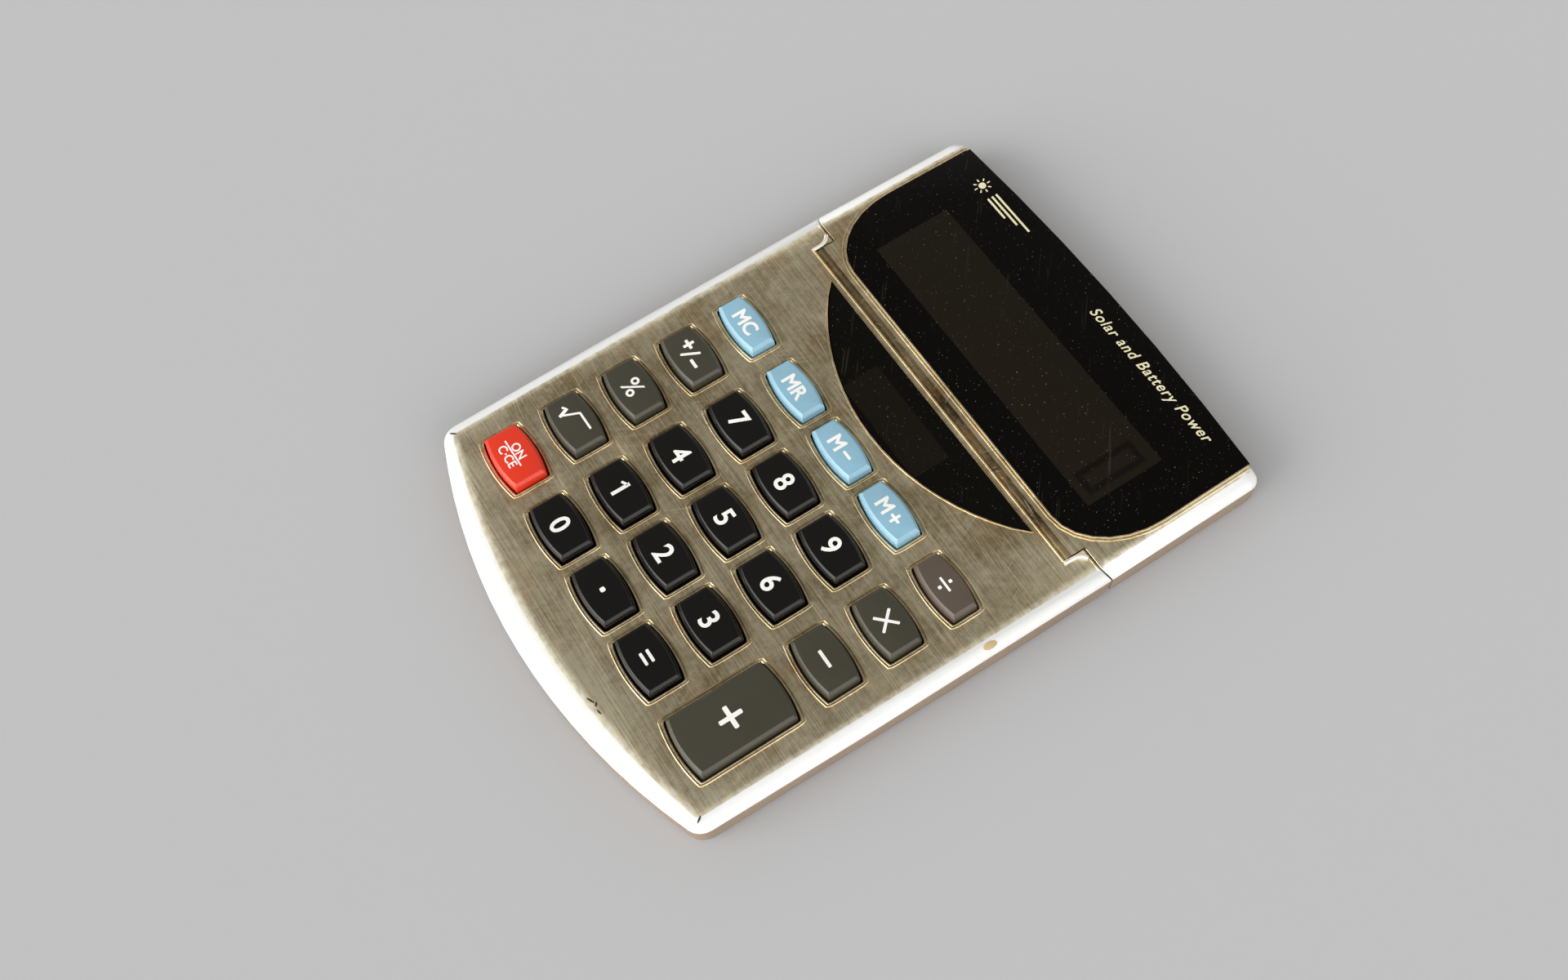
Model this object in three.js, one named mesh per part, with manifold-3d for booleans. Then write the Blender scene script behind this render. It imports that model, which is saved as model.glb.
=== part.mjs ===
// Mini desk calculator with a tilting display head. Millimetres, +Z up, +Y towards the display.
// The origin is the middle of the plan outline, on the surface that the rubber feet stand on.

import * as THREE from 'three';
import { mergeVertices } from 'three/addons/utils/BufferGeometryUtils.js';
import Module from 'manifold-3d';

const wasm = await Module();
wasm.setup();

// Overall sizes
const bodyWidth = 108;
const baseLength = 102.7; // front edge to hinge axis
const headLength = 44.3; // hinge axis to rear edge
const footProud = 0.8;
const shellWallHeight = 5.3;
const seamGap = 0.3; // dark line between the plastic shells and the metal skins
const flangeHeight = 2;
const keyProud = 2.2;
const clearance = 0.3; // between pieces that touch

// Plan outline
const frontArcDepth = 10.55; // front corners behind the middle of the front edge
const frontCornerRadius = 4;
const smallestCorner = 0.5; // of the outlines inside the shells
const rearArcRadius = 626;
const rearCornerRadius = 3;
const sideBow = 0.7; // how far the sides draw in at the front
const bowMiddleY = 10;
const bowReach = 76;

// Metal skins
const plateThickness = 0.5;
const flangeReach = 2.8; // width of the rolled edge at the sides
const frontFlangeReach = 4.8; // and at the middle of the front
const foldArcDepth = 7.15; // the same on the fold line
const foldCornerRadius = 1.5;
const rollAngle = 1.26; // how far the edge roll turns before it meets the flat top
const rollSteps = 3;

// Plastic shells
const wall = 1.4;
const floor = 1.2;
const bottomEdgeRound = 0.9;

// Hinge
const barrelRadius = 3; // outside of the metal wrap
const earWidth = 8; // of each ear, from the side of the body inwards
const earSideGap = 0.3;
const rearWallGap = 0.4; // between the barrel and the base's rear wall
const earRadius = 3.9; // round rear end of the base at the sides
const headEndRadius = 4.25; // hollow front end of the head at the sides
const plateSetback = 2.2; // rear edge of the faceplate, in front of the hinge axis
const wrapEndAngle = 3.58; // where the metal wrap stops, turned from +Y over the top
const pinRadius = 1;
const pinInBarrel = 2.5;
const pinInEar = 4.6;

// Keys
const innerPitch = 17.7;
const outerPitch = 19.85;
const rowPitch = 14.4;
const memoryRowPitch = 13.96;
const topRowSetback = 25.04; // memory row, in front of the hinge axis
const keyWidth = 14.2;
const keyLength = 9.4;
const memoryKeyLength = 7.6;
const keyBulge = 1;
const lipReach = 0.8;
const lipThickness = 0.6;
const keyPlateGap = 0.6;
const keyFrameGap = 0.5;
const keyEdgeInset = 0.95;
const keyEdgeHeight = 1.2;
const keyDraft = 0.3;

// Board and mat
const boardThickness = 0.8;
const boardHalfWidth = 44;
const matThickness = 0.6;
const matHalfWidth = 45;
const matFrontBorder = 2.7; // mat beyond the front keys
const matRearBorder = 1.9; // and beyond the memory keys
const domeFootRadius = 3.4;
const domeTopRadius = 1.9;
const boardWallGap = 1; // between the board and the rear wall
const boardBayGap = 0.6; // between the board and the battery bay
const chipX = -24;
const chipSetback = 12; // in front of the hinge axis
const chipFootRadius = 4.6;
const chipTopRadius = 3;
const chipHeight = 1.1;

// Key frame
const frameThickness = 1.3;

// Solar window
const windowSetback = 3.2; // straight edge, in front of the hinge axis
const windowHalfWidth = 37.7;
const windowDepth = 14.7;
const windowThickness = 1;
const windowSink = 0.1;
const cellHalfLength = 13.5;
const cellWidth = 9;
const cellThickness = 0.8;
const cellSetback = 11.7; // middle of the cell, in front of the hinge axis
const leadRadius = 0.35;
const redLeadX = -10;
const blackLeadX = -12;
const leadReach = 4.6; // from the middle of the cell to its joint on the board

// Battery
const batteryRadius = 5.8;
const batteryHeight = 3.05;
const batteryX = 26;
const batterySetback = 11.5;
const doorHalfWidth = 6.5;
const doorThickness = 1.2;
const doorEndMargin = 7; // door beyond the middle of the cell
const doorScrewOffset = 10; // door screw from the middle of the cell
const doorScrewMargin = 1.2; // door beyond the head of its screw
const bayWall = 1.2;
const baySideWall = 0.8;
const clipThickness = 0.35;
const minusClipHalfWidth = 1.6;
const minusClipFoot = 3.4; // length soldered to the board
const minusClipMargin = 0.6; // foot from the edge of the board
const minusClipRise = 3; // length of its slope
const minusClipReach = 2; // tongue past the middle of the cell
const plusClipHalfWidth = 2.5;
const plusClipDrop = 0.2; // top below the top of the cell
const doorScrewSink = 0.2;
const doorScrewHeadHeight = 0.6;

// Screws and feet
const screwRadius = 0.9;
const screwHeadRadius = 1.8;
const screwHeadHeight = 1.1;
const bossRadius = 2.4;
const frameBossRadius = 2;
const frameBossHeight = 1.4;
const screwTipCover = 0.5; // frame left over the screw tips
const headScrewTipDrop = 2; // tips below the top of the display glass
const screwSlotLength = 2.4;
const screwSlotWidth = 0.5;
const screwHeadSink = 0.2;
const baseScrewInset = 5.7;
const frontScrewSetback = 5.95; // behind the front corners
const rearScrewSetback = 11.2;
const footRadius = 4;
const footSink = 0.4;
const footInsetX = 14;
const frontFootY = 14.5;
const rearFootSetback = 10.5;

// Display
const lensInset = 4.3; // lens side edge from the side of the body
const lensFrontY = 2; // lens front edge behind the hinge axis
const lensCornerX = 13.5;
const lensCornerY = 17.8;
const lensThickness = 1;
const lensRearInset = 0.4;
const lcdHalfWidth = 42;
const lcdFrontY = 6.8;
const lcdRearY = 30.8;
const lcdThickness = 1.1;
const holderWall = 1.6;
const holderThickness = 0.8;
const holderRearHeight = 1.2; // of the step that carries the screws, above its floor
const cushionThickness = 0.7;
const cushionFrontMargin = 3.6; // leaves room for the ribbon's joint
const cushionRearMargin = 1;
const cushionSideMargin = 2;
const headScrewInset = 2; // from the side of the display glass
const headScrewY = 36.6;
const ribbonHalfWidth = 6;
const ribbonThickness = 0.2;
const ribbonLift = 0.45; // ribbon above the floor where it passes under the hinge
const ribbonSideGap = 0.5;
const ribbonSlotHeight = 1.2;
const ribbonRun = 14; // from the hinge axis to its joint on the board
const ribbonLap = 2.6; // over the display glass

// Worked out
const halfWidth = bodyWidth / 2;
const arcRadius = (half, depth) => (half ** 2 + depth ** 2) / (2 * depth);
const frontArcRadius = arcRadius(halfWidth, frontArcDepth);
const foldArcRadius = arcRadius(halfWidth - flangeReach, foldArcDepth);
const overallLength = baseLength + headLength;
const frontY = -overallLength / 2;
const rearY = overallLength / 2;
const hingeY = frontY + baseLength;
const shellBottomZ = footProud;
const floorTopZ = shellBottomZ + floor;
const shellTopZ = shellBottomZ + shellWallHeight;
const flangeBottomZ = shellTopZ + seamGap;
const plateTopZ = flangeBottomZ + flangeHeight;
const plateBottomZ = plateTopZ - plateThickness;
const hingeZ = plateTopZ - barrelRadius;
const keyTopZ = plateTopZ + keyProud;
const frameTopZ = plateBottomZ - clearance;
const frameBottomZ = frameTopZ - frameThickness;
const lipTopZ = frameBottomZ - clearance;
const lipBottomZ = lipTopZ - lipThickness;
const boardBottomZ = floorTopZ + clearance;
const boardTopZ = boardBottomZ + boardThickness;
const matBottomZ = boardTopZ + clearance;
const matTopZ = matBottomZ + matThickness;
const domeTopZ = lipBottomZ - clearance;
const rearWallY = hingeY - barrelRadius - rearWallGap; // outside of the base's rear wall, between the ears
const earInnerX = halfWidth - earWidth;
const barrelHalfLength = earInnerX - earSideGap;
const outerColumnX = innerPitch + outerPitch;
const baseScrewX = halfWidth - baseScrewInset;
const frontScrewY = frontY + frontArcDepth + frontScrewSetback;
const lensBottomZ = plateTopZ - lensThickness;
const lcdTopZ = lensBottomZ - clearance;
const lcdBottomZ = lcdTopZ - lcdThickness;
const cushionTopZ = lcdBottomZ - clearance;
const cushionBottomZ = cushionTopZ - cushionThickness;
const holderFloorTopZ = cushionBottomZ - clearance;
const holderBottomZ = holderFloorTopZ - holderThickness;
const windowTopZ = plateTopZ - windowSink;
const windowBottomZ = windowTopZ - windowThickness;
const cellTopZ = windowBottomZ - clearance;
const cellBottomZ = cellTopZ - cellThickness;
const cellY = hingeY - cellSetback;
const ribbonZ = floorTopZ + ribbonLift;
const overshoot = 10; // how far a cutting solid runs past what it cuts
const shortOvershoot = 1; // the same where a neighbour is close
const fuse = 0.1; // how far joined solids run into each other

// Materials
const finish = (color, roughness, metalness) =>
  new THREE.MeshStandardMaterial({ color, roughness, metalness, flatShading: true });
const brushedMetal = finish(0x8a7c60, 0.35, 1);
const shellPlastic = finish(0x8f8373, 0.55, 0);
const framePlastic = finish(0x1d1b19, 0.6, 0);
const blackKey = finish(0x12100e, 0.3, 0);
const greyKey = finish(0x45423a, 0.35, 0);
const brownKey = finish(0x5b4f47, 0.35, 0);
const blueKey = finish(0x6fa3bf, 0.35, 0);
const redKey = finish(0xd8402a, 0.35, 0);
const lensPlastic = finish(0x0b0907, 0.08, 0);
const solarGlass = finish(0x171310, 0.2, 0);
const rubber = finish(0x2a2826, 0.85, 0);
const silicone = finish(0xb8b4a8, 0.7, 0);
const boardMaterial = finish(0x5a6a3a, 0.6, 0);
const epoxy = finish(0x0c0c0c, 0.3, 0);
const steel = finish(0xb0b0ac, 0.3, 1);
const brass = finish(0xb59a5a, 0.35, 1);
const foam = finish(0x3a3836, 0.95, 0);
const displayGlass = finish(0x2a2620, 0.15, 0);
const flexFilm = finish(0xa06a32, 0.5, 0);
const redWire = finish(0xb02a20, 0.5, 0);
const blackWire = finish(0x151515, 0.5, 0);

// Solids

function toSolid(geometry) {
  const plain = new THREE.BufferGeometry();
  plain.setAttribute('position', geometry.getAttribute('position'));
  plain.setIndex(geometry.getIndex());
  const merged = mergeVertices(plain, 1e-4);
  const mesh = new wasm.Mesh({
    numProp: 3,
    vertProperties: new Float32Array(merged.getAttribute('position').array),
    triVerts: new Uint32Array(merged.getIndex().array),
  });
  return new wasm.Manifold(mesh);
}

function toGeometry(solid) {
  const mesh = solid.getMesh();
  const geometry = new THREE.BufferGeometry();
  geometry.setAttribute('position', new THREE.BufferAttribute(mesh.vertProperties, 3));
  geometry.setIndex(new THREE.BufferAttribute(mesh.triVerts, 1));
  return geometry;
}

function joined(solids) {
  return solids.reduce((sum, next) => sum.add(next));
}

function cutBy(solid, cutters) {
  return cutters.reduce((left, cutter) => left.subtract(cutter), solid);
}

// Stacks outlines of the same point count, lowest first, into one closed body.
function loft(levels) {
  const count = levels[0].points.length;
  const positions = [];
  for (const { z, points } of levels) {
    for (const [x, y] of points) positions.push(x, y, z);
  }
  const index = [];
  for (let level = 0; level < levels.length - 1; level++) {
    for (let i = 0; i < count; i++) {
      const a = level * count + i;
      const b = level * count + ((i + 1) % count);
      index.push(a, b, b + count, a, b + count, a + count);
    }
  }
  const capFaces = ({ points }) =>
    THREE.ShapeUtils.triangulateShape(points.map(([x, y]) => new THREE.Vector2(x, y)), []);
  for (const [a, b, c] of capFaces(levels[0])) index.push(c, b, a);
  const top = (levels.length - 1) * count;
  for (const [a, b, c] of capFaces(levels[levels.length - 1])) index.push(top + a, top + b, top + c);
  const geometry = new THREE.BufferGeometry();
  geometry.setAttribute('position', new THREE.Float32BufferAttribute(positions, 3));
  geometry.setIndex(index);
  return geometry;
}

function prism(points, bottomZ, topZ) {
  return loft([{ z: bottomZ, points }, { z: topZ, points }]);
}

function block(lowX, highX, lowY, highY, lowZ, highZ) {
  const geometry = new THREE.BoxGeometry(highX - lowX, highY - lowY, highZ - lowZ);
  geometry.translate((lowX + highX) / 2, (lowY + highY) / 2, (lowZ + highZ) / 2);
  return geometry;
}

function post(x, y, radius, bottomZ, topZ, segments = 14) {
  const geometry = new THREE.CylinderGeometry(radius, radius, topZ - bottomZ, segments);
  geometry.rotateX(Math.PI / 2);
  geometry.translate(x, y, (bottomZ + topZ) / 2);
  return geometry;
}

// A rod on the hinge axis.
function hingeRod(radius, lowX, highX, segments = 24) {
  const geometry = new THREE.CylinderGeometry(radius, radius, highX - lowX, segments);
  geometry.rotateZ(Math.PI / 2);
  geometry.translate((lowX + highX) / 2, hingeY, hingeZ);
  return geometry;
}

// Extrudes an outline drawn in the Y-Z plane along X.
function crossSection(points, lowX, highX) {
  const shape = new THREE.Shape(points.map(([y, z]) => new THREE.Vector2(y, z)));
  const geometry = new THREE.ExtrudeGeometry(shape, { depth: highX - lowX, bevelEnabled: false });
  geometry.applyMatrix4(new THREE.Matrix4().set(0, 0, 1, lowX, 1, 0, 0, 0, 0, 1, 0, 0, 0, 0, 0, 1));
  return geometry;
}

// Outlines

function arcPoints(centerX, centerY, radius, startAngle, endAngle, steps) {
  const points = [];
  for (let i = 0; i <= steps; i++) {
    const angle = startAngle + ((endAngle - startAngle) * i) / steps;
    points.push([centerX + radius * Math.cos(angle), centerY + radius * Math.sin(angle)]);
  }
  return points;
}

// Plan of a body with an arched end at apexY, bulging towards -Y, and a straight cut at openY.
function archedPlan({ half, apexY, radius, corner, openY }) {
  const arcCenterY = apexY + radius;
  const filletX = half - corner;
  const filletY = arcCenterY - Math.sqrt((radius - corner) ** 2 - filletX ** 2);
  const tangentAngle = Math.atan2(filletY - arcCenterY, filletX);
  const right = [
    ...arcPoints(0, arcCenterY, radius, -Math.PI / 2, tangentAngle, 8),
    ...arcPoints(filletX, filletY, corner, tangentAngle, 0, 4).slice(1),
  ];
  const sideSteps = 5;
  for (let i = 1; i <= sideSteps; i++) right.push([half, filletY + ((openY - filletY) * i) / sideSteps]);
  const left = right.slice(1).reverse().map(([x, y]) => [-x, y]);
  return [...right, ...left];
}

// Draws the sides in a little, away from the widest place.
function bowed(points) {
  return points.map(([x, y]) => {
    const drawIn = (sideBow / halfWidth) * ((y - bowMiddleY) / bowReach) ** 2;
    return [x * (1 - drawIn), y];
  });
}

function baseOutline(inset, openY) {
  return bowed(archedPlan({
    half: halfWidth - inset,
    apexY: frontY + inset,
    radius: frontArcRadius - inset,
    corner: Math.max(frontCornerRadius - inset, smallestCorner),
    openY,
  }));
}

function baseFoldOutline(inset, openY) {
  return bowed(archedPlan({
    half: halfWidth - flangeReach - inset,
    apexY: frontY + frontFlangeReach + inset,
    radius: foldArcRadius,
    corner: foldCornerRadius,
    openY,
  }));
}

function flippedPlan(plan) {
  return bowed(archedPlan(plan).reverse().map(([x, y]) => [x, -y]));
}

function headOutline(inset, openY) {
  return flippedPlan({
    half: halfWidth - inset,
    apexY: -rearY + inset,
    radius: rearArcRadius,
    corner: Math.max(rearCornerRadius - inset, smallestCorner),
    openY: -openY,
  });
}

function headFoldOutline(inset, openY) {
  return flippedPlan({
    half: halfWidth - flangeReach - inset,
    apexY: -rearY + flangeReach + inset,
    radius: rearArcRadius,
    corner: foldCornerRadius,
    openY: -openY,
  });
}

// A rounded key seen from above: straight sides, bulging front and rear edges.
function keyOutline(x, y, width, length, grow, steps = 4) {
  const half = width / 2 + grow;
  const endY = length / 2 + grow;
  const radius = arcRadius(half, keyBulge);
  const sweep = Math.asin(half / radius);
  const front = arcPoints(0, radius - endY, radius, -Math.PI / 2 - sweep, -Math.PI / 2 + sweep, steps);
  const rear = front.map(([px, py]) => [-px, -py]);
  return [...front, ...rear].map(([px, py]) => [x + px, y + py]);
}

// The half-moon window: a straight rear edge and one arc.
function windowOutline(grow) {
  const innerRadius = arcRadius(windowHalfWidth, windowDepth);
  const centerY = hingeY - windowSetback - windowDepth + innerRadius;
  const edgeY = hingeY - windowSetback + grow;
  const radius = innerRadius + grow;
  const sweep = Math.acos((centerY - edgeY) / radius);
  return arcPoints(0, centerY, radius, -Math.PI / 2 - sweep, -Math.PI / 2 + sweep, 20);
}

function lensOutline(grow, rearInset) {
  const half = halfWidth - lensInset + grow;
  const lensY = hingeY + lensFrontY - grow;
  const right = [];
  const steps = 7;
  for (let i = 0; i <= steps; i++) {
    const angle = (Math.PI / 2) * (i / steps);
    const x = half - lensCornerX + lensCornerX * Math.sin(angle);
    right.push([x, lensY + lensCornerY * (1 - Math.cos(angle))]);
  }
  const rearSteps = 6;
  const rear = [];
  for (let i = 0; i <= rearSteps; i++) {
    const x = half - (2 * half * i) / rearSteps;
    rear.push([x, rearY - rearInset - x ** 2 / (2 * rearArcRadius)]);
  }
  const left = right.slice().reverse().map(([x, y]) => [-x, y]);
  return bowed([...right, ...rear, ...left]);
}

// Keys: name, column, row and finish. Rows count from the memory row to the front.

const columns = [-outerColumnX, -innerPitch, 0, innerPitch, outerColumnX];
const memoryRowY = hingeY - topRowSetback;
const rowY = (row) => (row === 0 ? memoryRowY : memoryRowY - memoryRowPitch - (row - 1) * rowPitch);
const keyRows = [
  [['key_mc', blueKey], ['key_mr', blueKey], ['key_m_minus', blueKey], ['key_m_plus', blueKey],
    ['key_divide', brownKey]],
  [['key_sign', greyKey], ['key_7', blackKey], ['key_8', blackKey], ['key_9', blackKey],
    ['key_multiply', greyKey]],
  [['key_percent', greyKey], ['key_4', blackKey], ['key_5', blackKey], ['key_6', blackKey],
    ['key_minus', greyKey]],
  [['key_root', greyKey], ['key_1', blackKey], ['key_2', blackKey], ['key_3', blackKey],
    ['key_plus', greyKey]],
  [['key_on_clear', redKey], ['key_0', blackKey], ['key_point', blackKey], ['key_equals', blackKey]],
];

const keys = keyRows.flatMap((names, row) =>
  names.map(([name, material], column) => ({
    name,
    material,
    x: columns[column],
    y: name === 'key_plus' ? (rowY(row) + rowY(row + 1)) / 2 : rowY(row),
    width: keyWidth,
    length: name === 'key_plus' ? keyLength + rowPitch : row === 0 ? memoryKeyLength : keyLength,
  })));

function keyCap({ width, length }) {
  const outline = (grow) => keyOutline(0, 0, width, length, grow);
  return loft([
    { z: lipBottomZ, points: outline(lipReach) },
    { z: lipTopZ, points: outline(lipReach) },
    { z: lipTopZ, points: outline(0) },
    { z: keyTopZ - keyEdgeHeight, points: outline(-keyDraft) },
    { z: keyTopZ, points: outline(-keyEdgeInset) },
  ]);
}

// Metal skins

// Levels of the rolled edge, from the flange's free edge up to the flat top, sunk by a depth.
function rollLevels(outer, fold, depth) {
  const levels = [];
  for (let step = 0; step <= rollSteps; step++) {
    const angle = (rollAngle * step) / rollSteps;
    const share = (1 - Math.cos(angle)) / (1 - Math.cos(rollAngle));
    const sunk = depth * Math.cos(angle);
    const outerPoints = outer(sunk);
    const foldPoints = fold(sunk);
    const points = outerPoints.map(([x, y], i) => [
      x + (foldPoints[i][0] - x) * share,
      y + (foldPoints[i][1] - y) * share,
    ]);
    const rise = (flangeHeight * Math.sin(angle)) / Math.sin(rollAngle);
    levels.push({ z: flangeBottomZ + rise - (depth * Math.sin(angle)) / Math.sin(rollAngle), points });
  }
  return levels;
}

function pressedSkin(outer, fold, openEnd) {
  const skin = toSolid(loft(rollLevels(outer(0), fold(0), 0)));
  const hollow = rollLevels(outer(openEnd), fold(openEnd), plateThickness);
  hollow.unshift({ z: flangeBottomZ - overshoot, points: hollow[0].points });
  return skin.subtract(toSolid(loft(hollow)));
}

// Everything behind the hinge axis that lies outside a radius about it.
function beyondEar(radius) {
  const behind = block(-bodyWidth, bodyWidth, hingeY, hingeY + overshoot, -overshoot, 2 * overshoot);
  return toSolid(behind).subtract(toSolid(hingeRod(radius, -bodyWidth - 1, bodyWidth + 1, 32)));
}

function faceplate() {
  const earEndY = hingeY + earRadius;
  const skin = pressedSkin(
    (openEnd) => (inset) => baseOutline(inset, earEndY + openEnd),
    (openEnd) => (inset) => baseFoldOutline(inset, earEndY + openEnd),
    overshoot,
  );
  const barrelGap = block(
    -earInnerX, earInnerX, hingeY - plateSetback, hingeY + overshoot, -overshoot, 2 * overshoot);
  const keyHoles = keys.map(({ x, y, width, length }) =>
    toSolid(prism(keyOutline(x, y, width, length, keyPlateGap), 0, 2 * overshoot)));
  const windowHole = toSolid(prism(windowOutline(0), 0, 2 * overshoot));
  return cutBy(skin, [toSolid(barrelGap), beyondEar(earRadius), windowHole, ...keyHoles]);
}

function headPlate() {
  const frontEnd = hingeY;
  const skin = pressedSkin(
    (openEnd) => (inset) => headOutline(inset, frontEnd - openEnd),
    (openEnd) => (inset) => headFoldOutline(inset, frontEnd - openEnd),
    overshoot,
  );
  const wrapStart = 1.4; // runs a little into the flat top
  const wrapSteps = 9;
  const wrapOutside = arcPoints(hingeY, hingeZ, barrelRadius, wrapStart, wrapEndAngle, wrapSteps);
  const wrapInside = arcPoints(
    hingeY, hingeZ, barrelRadius - plateThickness, wrapEndAngle, wrapStart, wrapSteps);
  const wrap = toSolid(crossSection([...wrapOutside, ...wrapInside], -barrelHalfLength, barrelHalfLength));
  const earGaps = [-1, 1].flatMap((side) => {
    const nearX = side * barrelHalfLength;
    const farX = side * (halfWidth + overshoot);
    const low = Math.min(nearX, farX);
    const high = Math.max(nearX, farX);
    return [
      toSolid(hingeRod(headEndRadius, low, high, 32)),
      toSolid(block(low, high, hingeY - overshoot, hingeY + shortOvershoot, -overshoot, 2 * overshoot)),
    ];
  });
  const lensHole = prism(lensOutline(clearance, -overshoot), lensBottomZ - clearance, 2 * overshoot);
  return cutBy(skin, [...earGaps, toSolid(lensHole)]).add(wrap);
}

// Plastic shells

function shellLevels(outline) {
  return [
    { z: shellBottomZ, points: outline(bottomEdgeRound) },
    { z: shellBottomZ + bottomEdgeRound / 3, points: outline(bottomEdgeRound / 3) },
    { z: shellBottomZ + bottomEdgeRound, points: outline(0) },
    { z: shellTopZ, points: outline(0) },
  ];
}

const baseScrews = [
  { name: 'base_screw_front_left', x: -baseScrewX, y: frontScrewY },
  { name: 'base_screw_front_right', x: baseScrewX, y: frontScrewY },
  { name: 'base_screw_rear_left', x: -baseScrewX, y: hingeY - rearScrewSetback },
  { name: 'base_screw_rear_right', x: baseScrewX, y: hingeY - rearScrewSetback },
];
const headScrews = [
  { name: 'head_screw_left', x: -(lcdHalfWidth - headScrewInset), y: hingeY + headScrewY },
  { name: 'head_screw_right', x: lcdHalfWidth - headScrewInset, y: hingeY + headScrewY },
];
const footX = halfWidth - footInsetX;
const feet = [
  { name: 'foot_front_left', x: -footX, y: frontY + frontFootY },
  { name: 'foot_front_right', x: footX, y: frontY + frontFootY },
  { name: 'foot_rear_left', x: -footX, y: hingeY - rearFootSetback },
  { name: 'foot_rear_right', x: footX, y: hingeY - rearFootSetback },
];

const bossTopZ = frameBottomZ - frameBossHeight - clearance; // top of the shell's screw bosses
const headBossTopZ = holderBottomZ - clearance;
const screwHeadBottomZ = shellBottomZ + screwHeadSink;
const counterboreTopZ = screwHeadBottomZ + screwHeadHeight + clearance;

function screwHole({ x, y }, topZ) {
  return [
    toSolid(post(x, y, screwRadius + clearance, 0, topZ, 10)),
    toSolid(post(x, y, screwHeadRadius + clearance, 0, counterboreTopZ)),
  ];
}

const batteryY = hingeY - batterySetback;
const doorLowX = batteryX - doorScrewOffset - screwHeadRadius - doorScrewMargin;
const doorHighX = batteryX + doorEndMargin;
const doorTopZ = shellBottomZ + doorThickness;
const bayFloorZ = doorTopZ + clearance;
const bayTopZ = bayFloorZ + bayWall;
const batteryBottomZ = bayFloorZ;
const doorScrew = { x: batteryX - doorScrewOffset, y: batteryY };
const bayHalf = doorHalfWidth + clearance + baySideWall;

function baseShell() {
  const outside = toSolid(loft(shellLevels((inset) => baseOutline(inset, hingeY + earRadius))));
  const inside = prism(baseOutline(wall, rearWallY - wall), floorTopZ, shellTopZ + overshoot);
  const barrelGap = block(-earInnerX, earInnerX, rearWallY, hingeY + overshoot, 0, 2 * overshoot);
  const pinBore = hingeRod(
    pinRadius + clearance, -earInnerX - pinInEar - clearance, earInnerX + pinInEar + clearance, 14);
  const tray = cutBy(outside, [toSolid(inside), toSolid(barrelGap), beyondEar(earRadius), toSolid(pinBore)]);

  const bosses = baseScrews.map(({ x, y }) => toSolid(post(x, y, bossRadius, shellBottomZ + fuse, bossTopZ)));
  const bay = toSolid(block(
    doorLowX - clearance - bayWall, doorHighX + clearance + bayWall,
    batteryY - bayHalf, Math.min(batteryY + bayHalf, rearWallY - wall / 2), shellBottomZ + fuse, bayTopZ));
  const doorHole = toSolid(block(
    doorLowX - clearance, doorHighX + clearance,
    batteryY - doorHalfWidth - clearance, batteryY + doorHalfWidth + clearance, 0, bayFloorZ));
  const cellHole = toSolid(post(
    batteryX, batteryY, batteryRadius + clearance, 0, bayTopZ + shortOvershoot, 24));
  const doorScrewHole = toSolid(post(
    doorScrew.x, doorScrew.y, screwRadius + clearance, 0, bayTopZ - clearance, 10));
  const footPockets = feet.map(({ x, y }) =>
    toSolid(post(x, y, footRadius + clearance, 0, shellBottomZ + footSink + clearance, 18)));
  const ribbonSlot = toSolid(block(
    -ribbonHalfWidth - ribbonSideGap, ribbonHalfWidth + ribbonSideGap,
    rearWallY - wall - shortOvershoot, rearWallY + shortOvershoot,
    boardTopZ - clearance, boardTopZ - clearance + ribbonSlotHeight));
  return cutBy(joined([tray, ...bosses, bay]), [
    doorHole,
    cellHole,
    doorScrewHole,
    ribbonSlot,
    ...footPockets,
    ...baseScrews.flatMap((place) => screwHole(place, bossTopZ + shortOvershoot)),
  ]);
}

function headBackShell() {
  const headFrontY = hingeY + headEndRadius;
  const outside = toSolid(loft(shellLevels((inset) => headOutline(inset, hingeY))));
  const barrel = toSolid(hingeRod(
    barrelRadius - plateThickness - clearance, -barrelHalfLength, barrelHalfLength));
  const inside = prism(headOutline(wall, headFrontY + wall), floorTopZ, shellTopZ + overshoot);
  const insideNeck = block(
    -barrelHalfLength + wall, barrelHalfLength - wall,
    hingeY + barrelRadius, headFrontY + wall + shortOvershoot, floorTopZ, shellTopZ + overshoot);
  const earGaps = [-1, 1].map((side) => {
    const nearX = side * barrelHalfLength;
    const farX = side * (halfWidth + overshoot);
    return toSolid(block(
      Math.min(nearX, farX), Math.max(nearX, farX), hingeY - overshoot, headFrontY, 0, 2 * overshoot));
  });
  const topTrim = toSolid(block(
    -halfWidth, halfWidth, hingeY - overshoot, hingeY + barrelRadius,
    hingeZ + barrelRadius - plateThickness - clearance, 2 * overshoot));
  const tray = cutBy(outside, [toSolid(inside), toSolid(insideNeck), ...earGaps]);
  const bosses = headScrews.map(({ x, y }) =>
    toSolid(post(x, y, bossRadius, shellBottomZ + fuse, headBossTopZ)));
  const pinBores = [-1, 1].map((side) => {
    const inner = side * (barrelHalfLength - pinInBarrel - clearance);
    const outer = side * (barrelHalfLength + shortOvershoot);
    return toSolid(hingeRod(pinRadius + clearance, Math.min(inner, outer), Math.max(inner, outer), 14));
  });
  const ribbonSlot = toSolid(block(
    -ribbonHalfWidth - ribbonSideGap, ribbonHalfWidth + ribbonSideGap,
    hingeY - overshoot, hingeY + barrelRadius + shortOvershoot,
    floorTopZ, floorTopZ + ribbonSlotHeight));
  return cutBy(joined([tray, barrel, ...bosses]), [
    topTrim,
    ribbonSlot,
    ...pinBores,
    ...headScrews.flatMap((place) => screwHole(place, headBossTopZ + shortOvershoot)),
  ]);
}

// Inner pieces of the base

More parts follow.
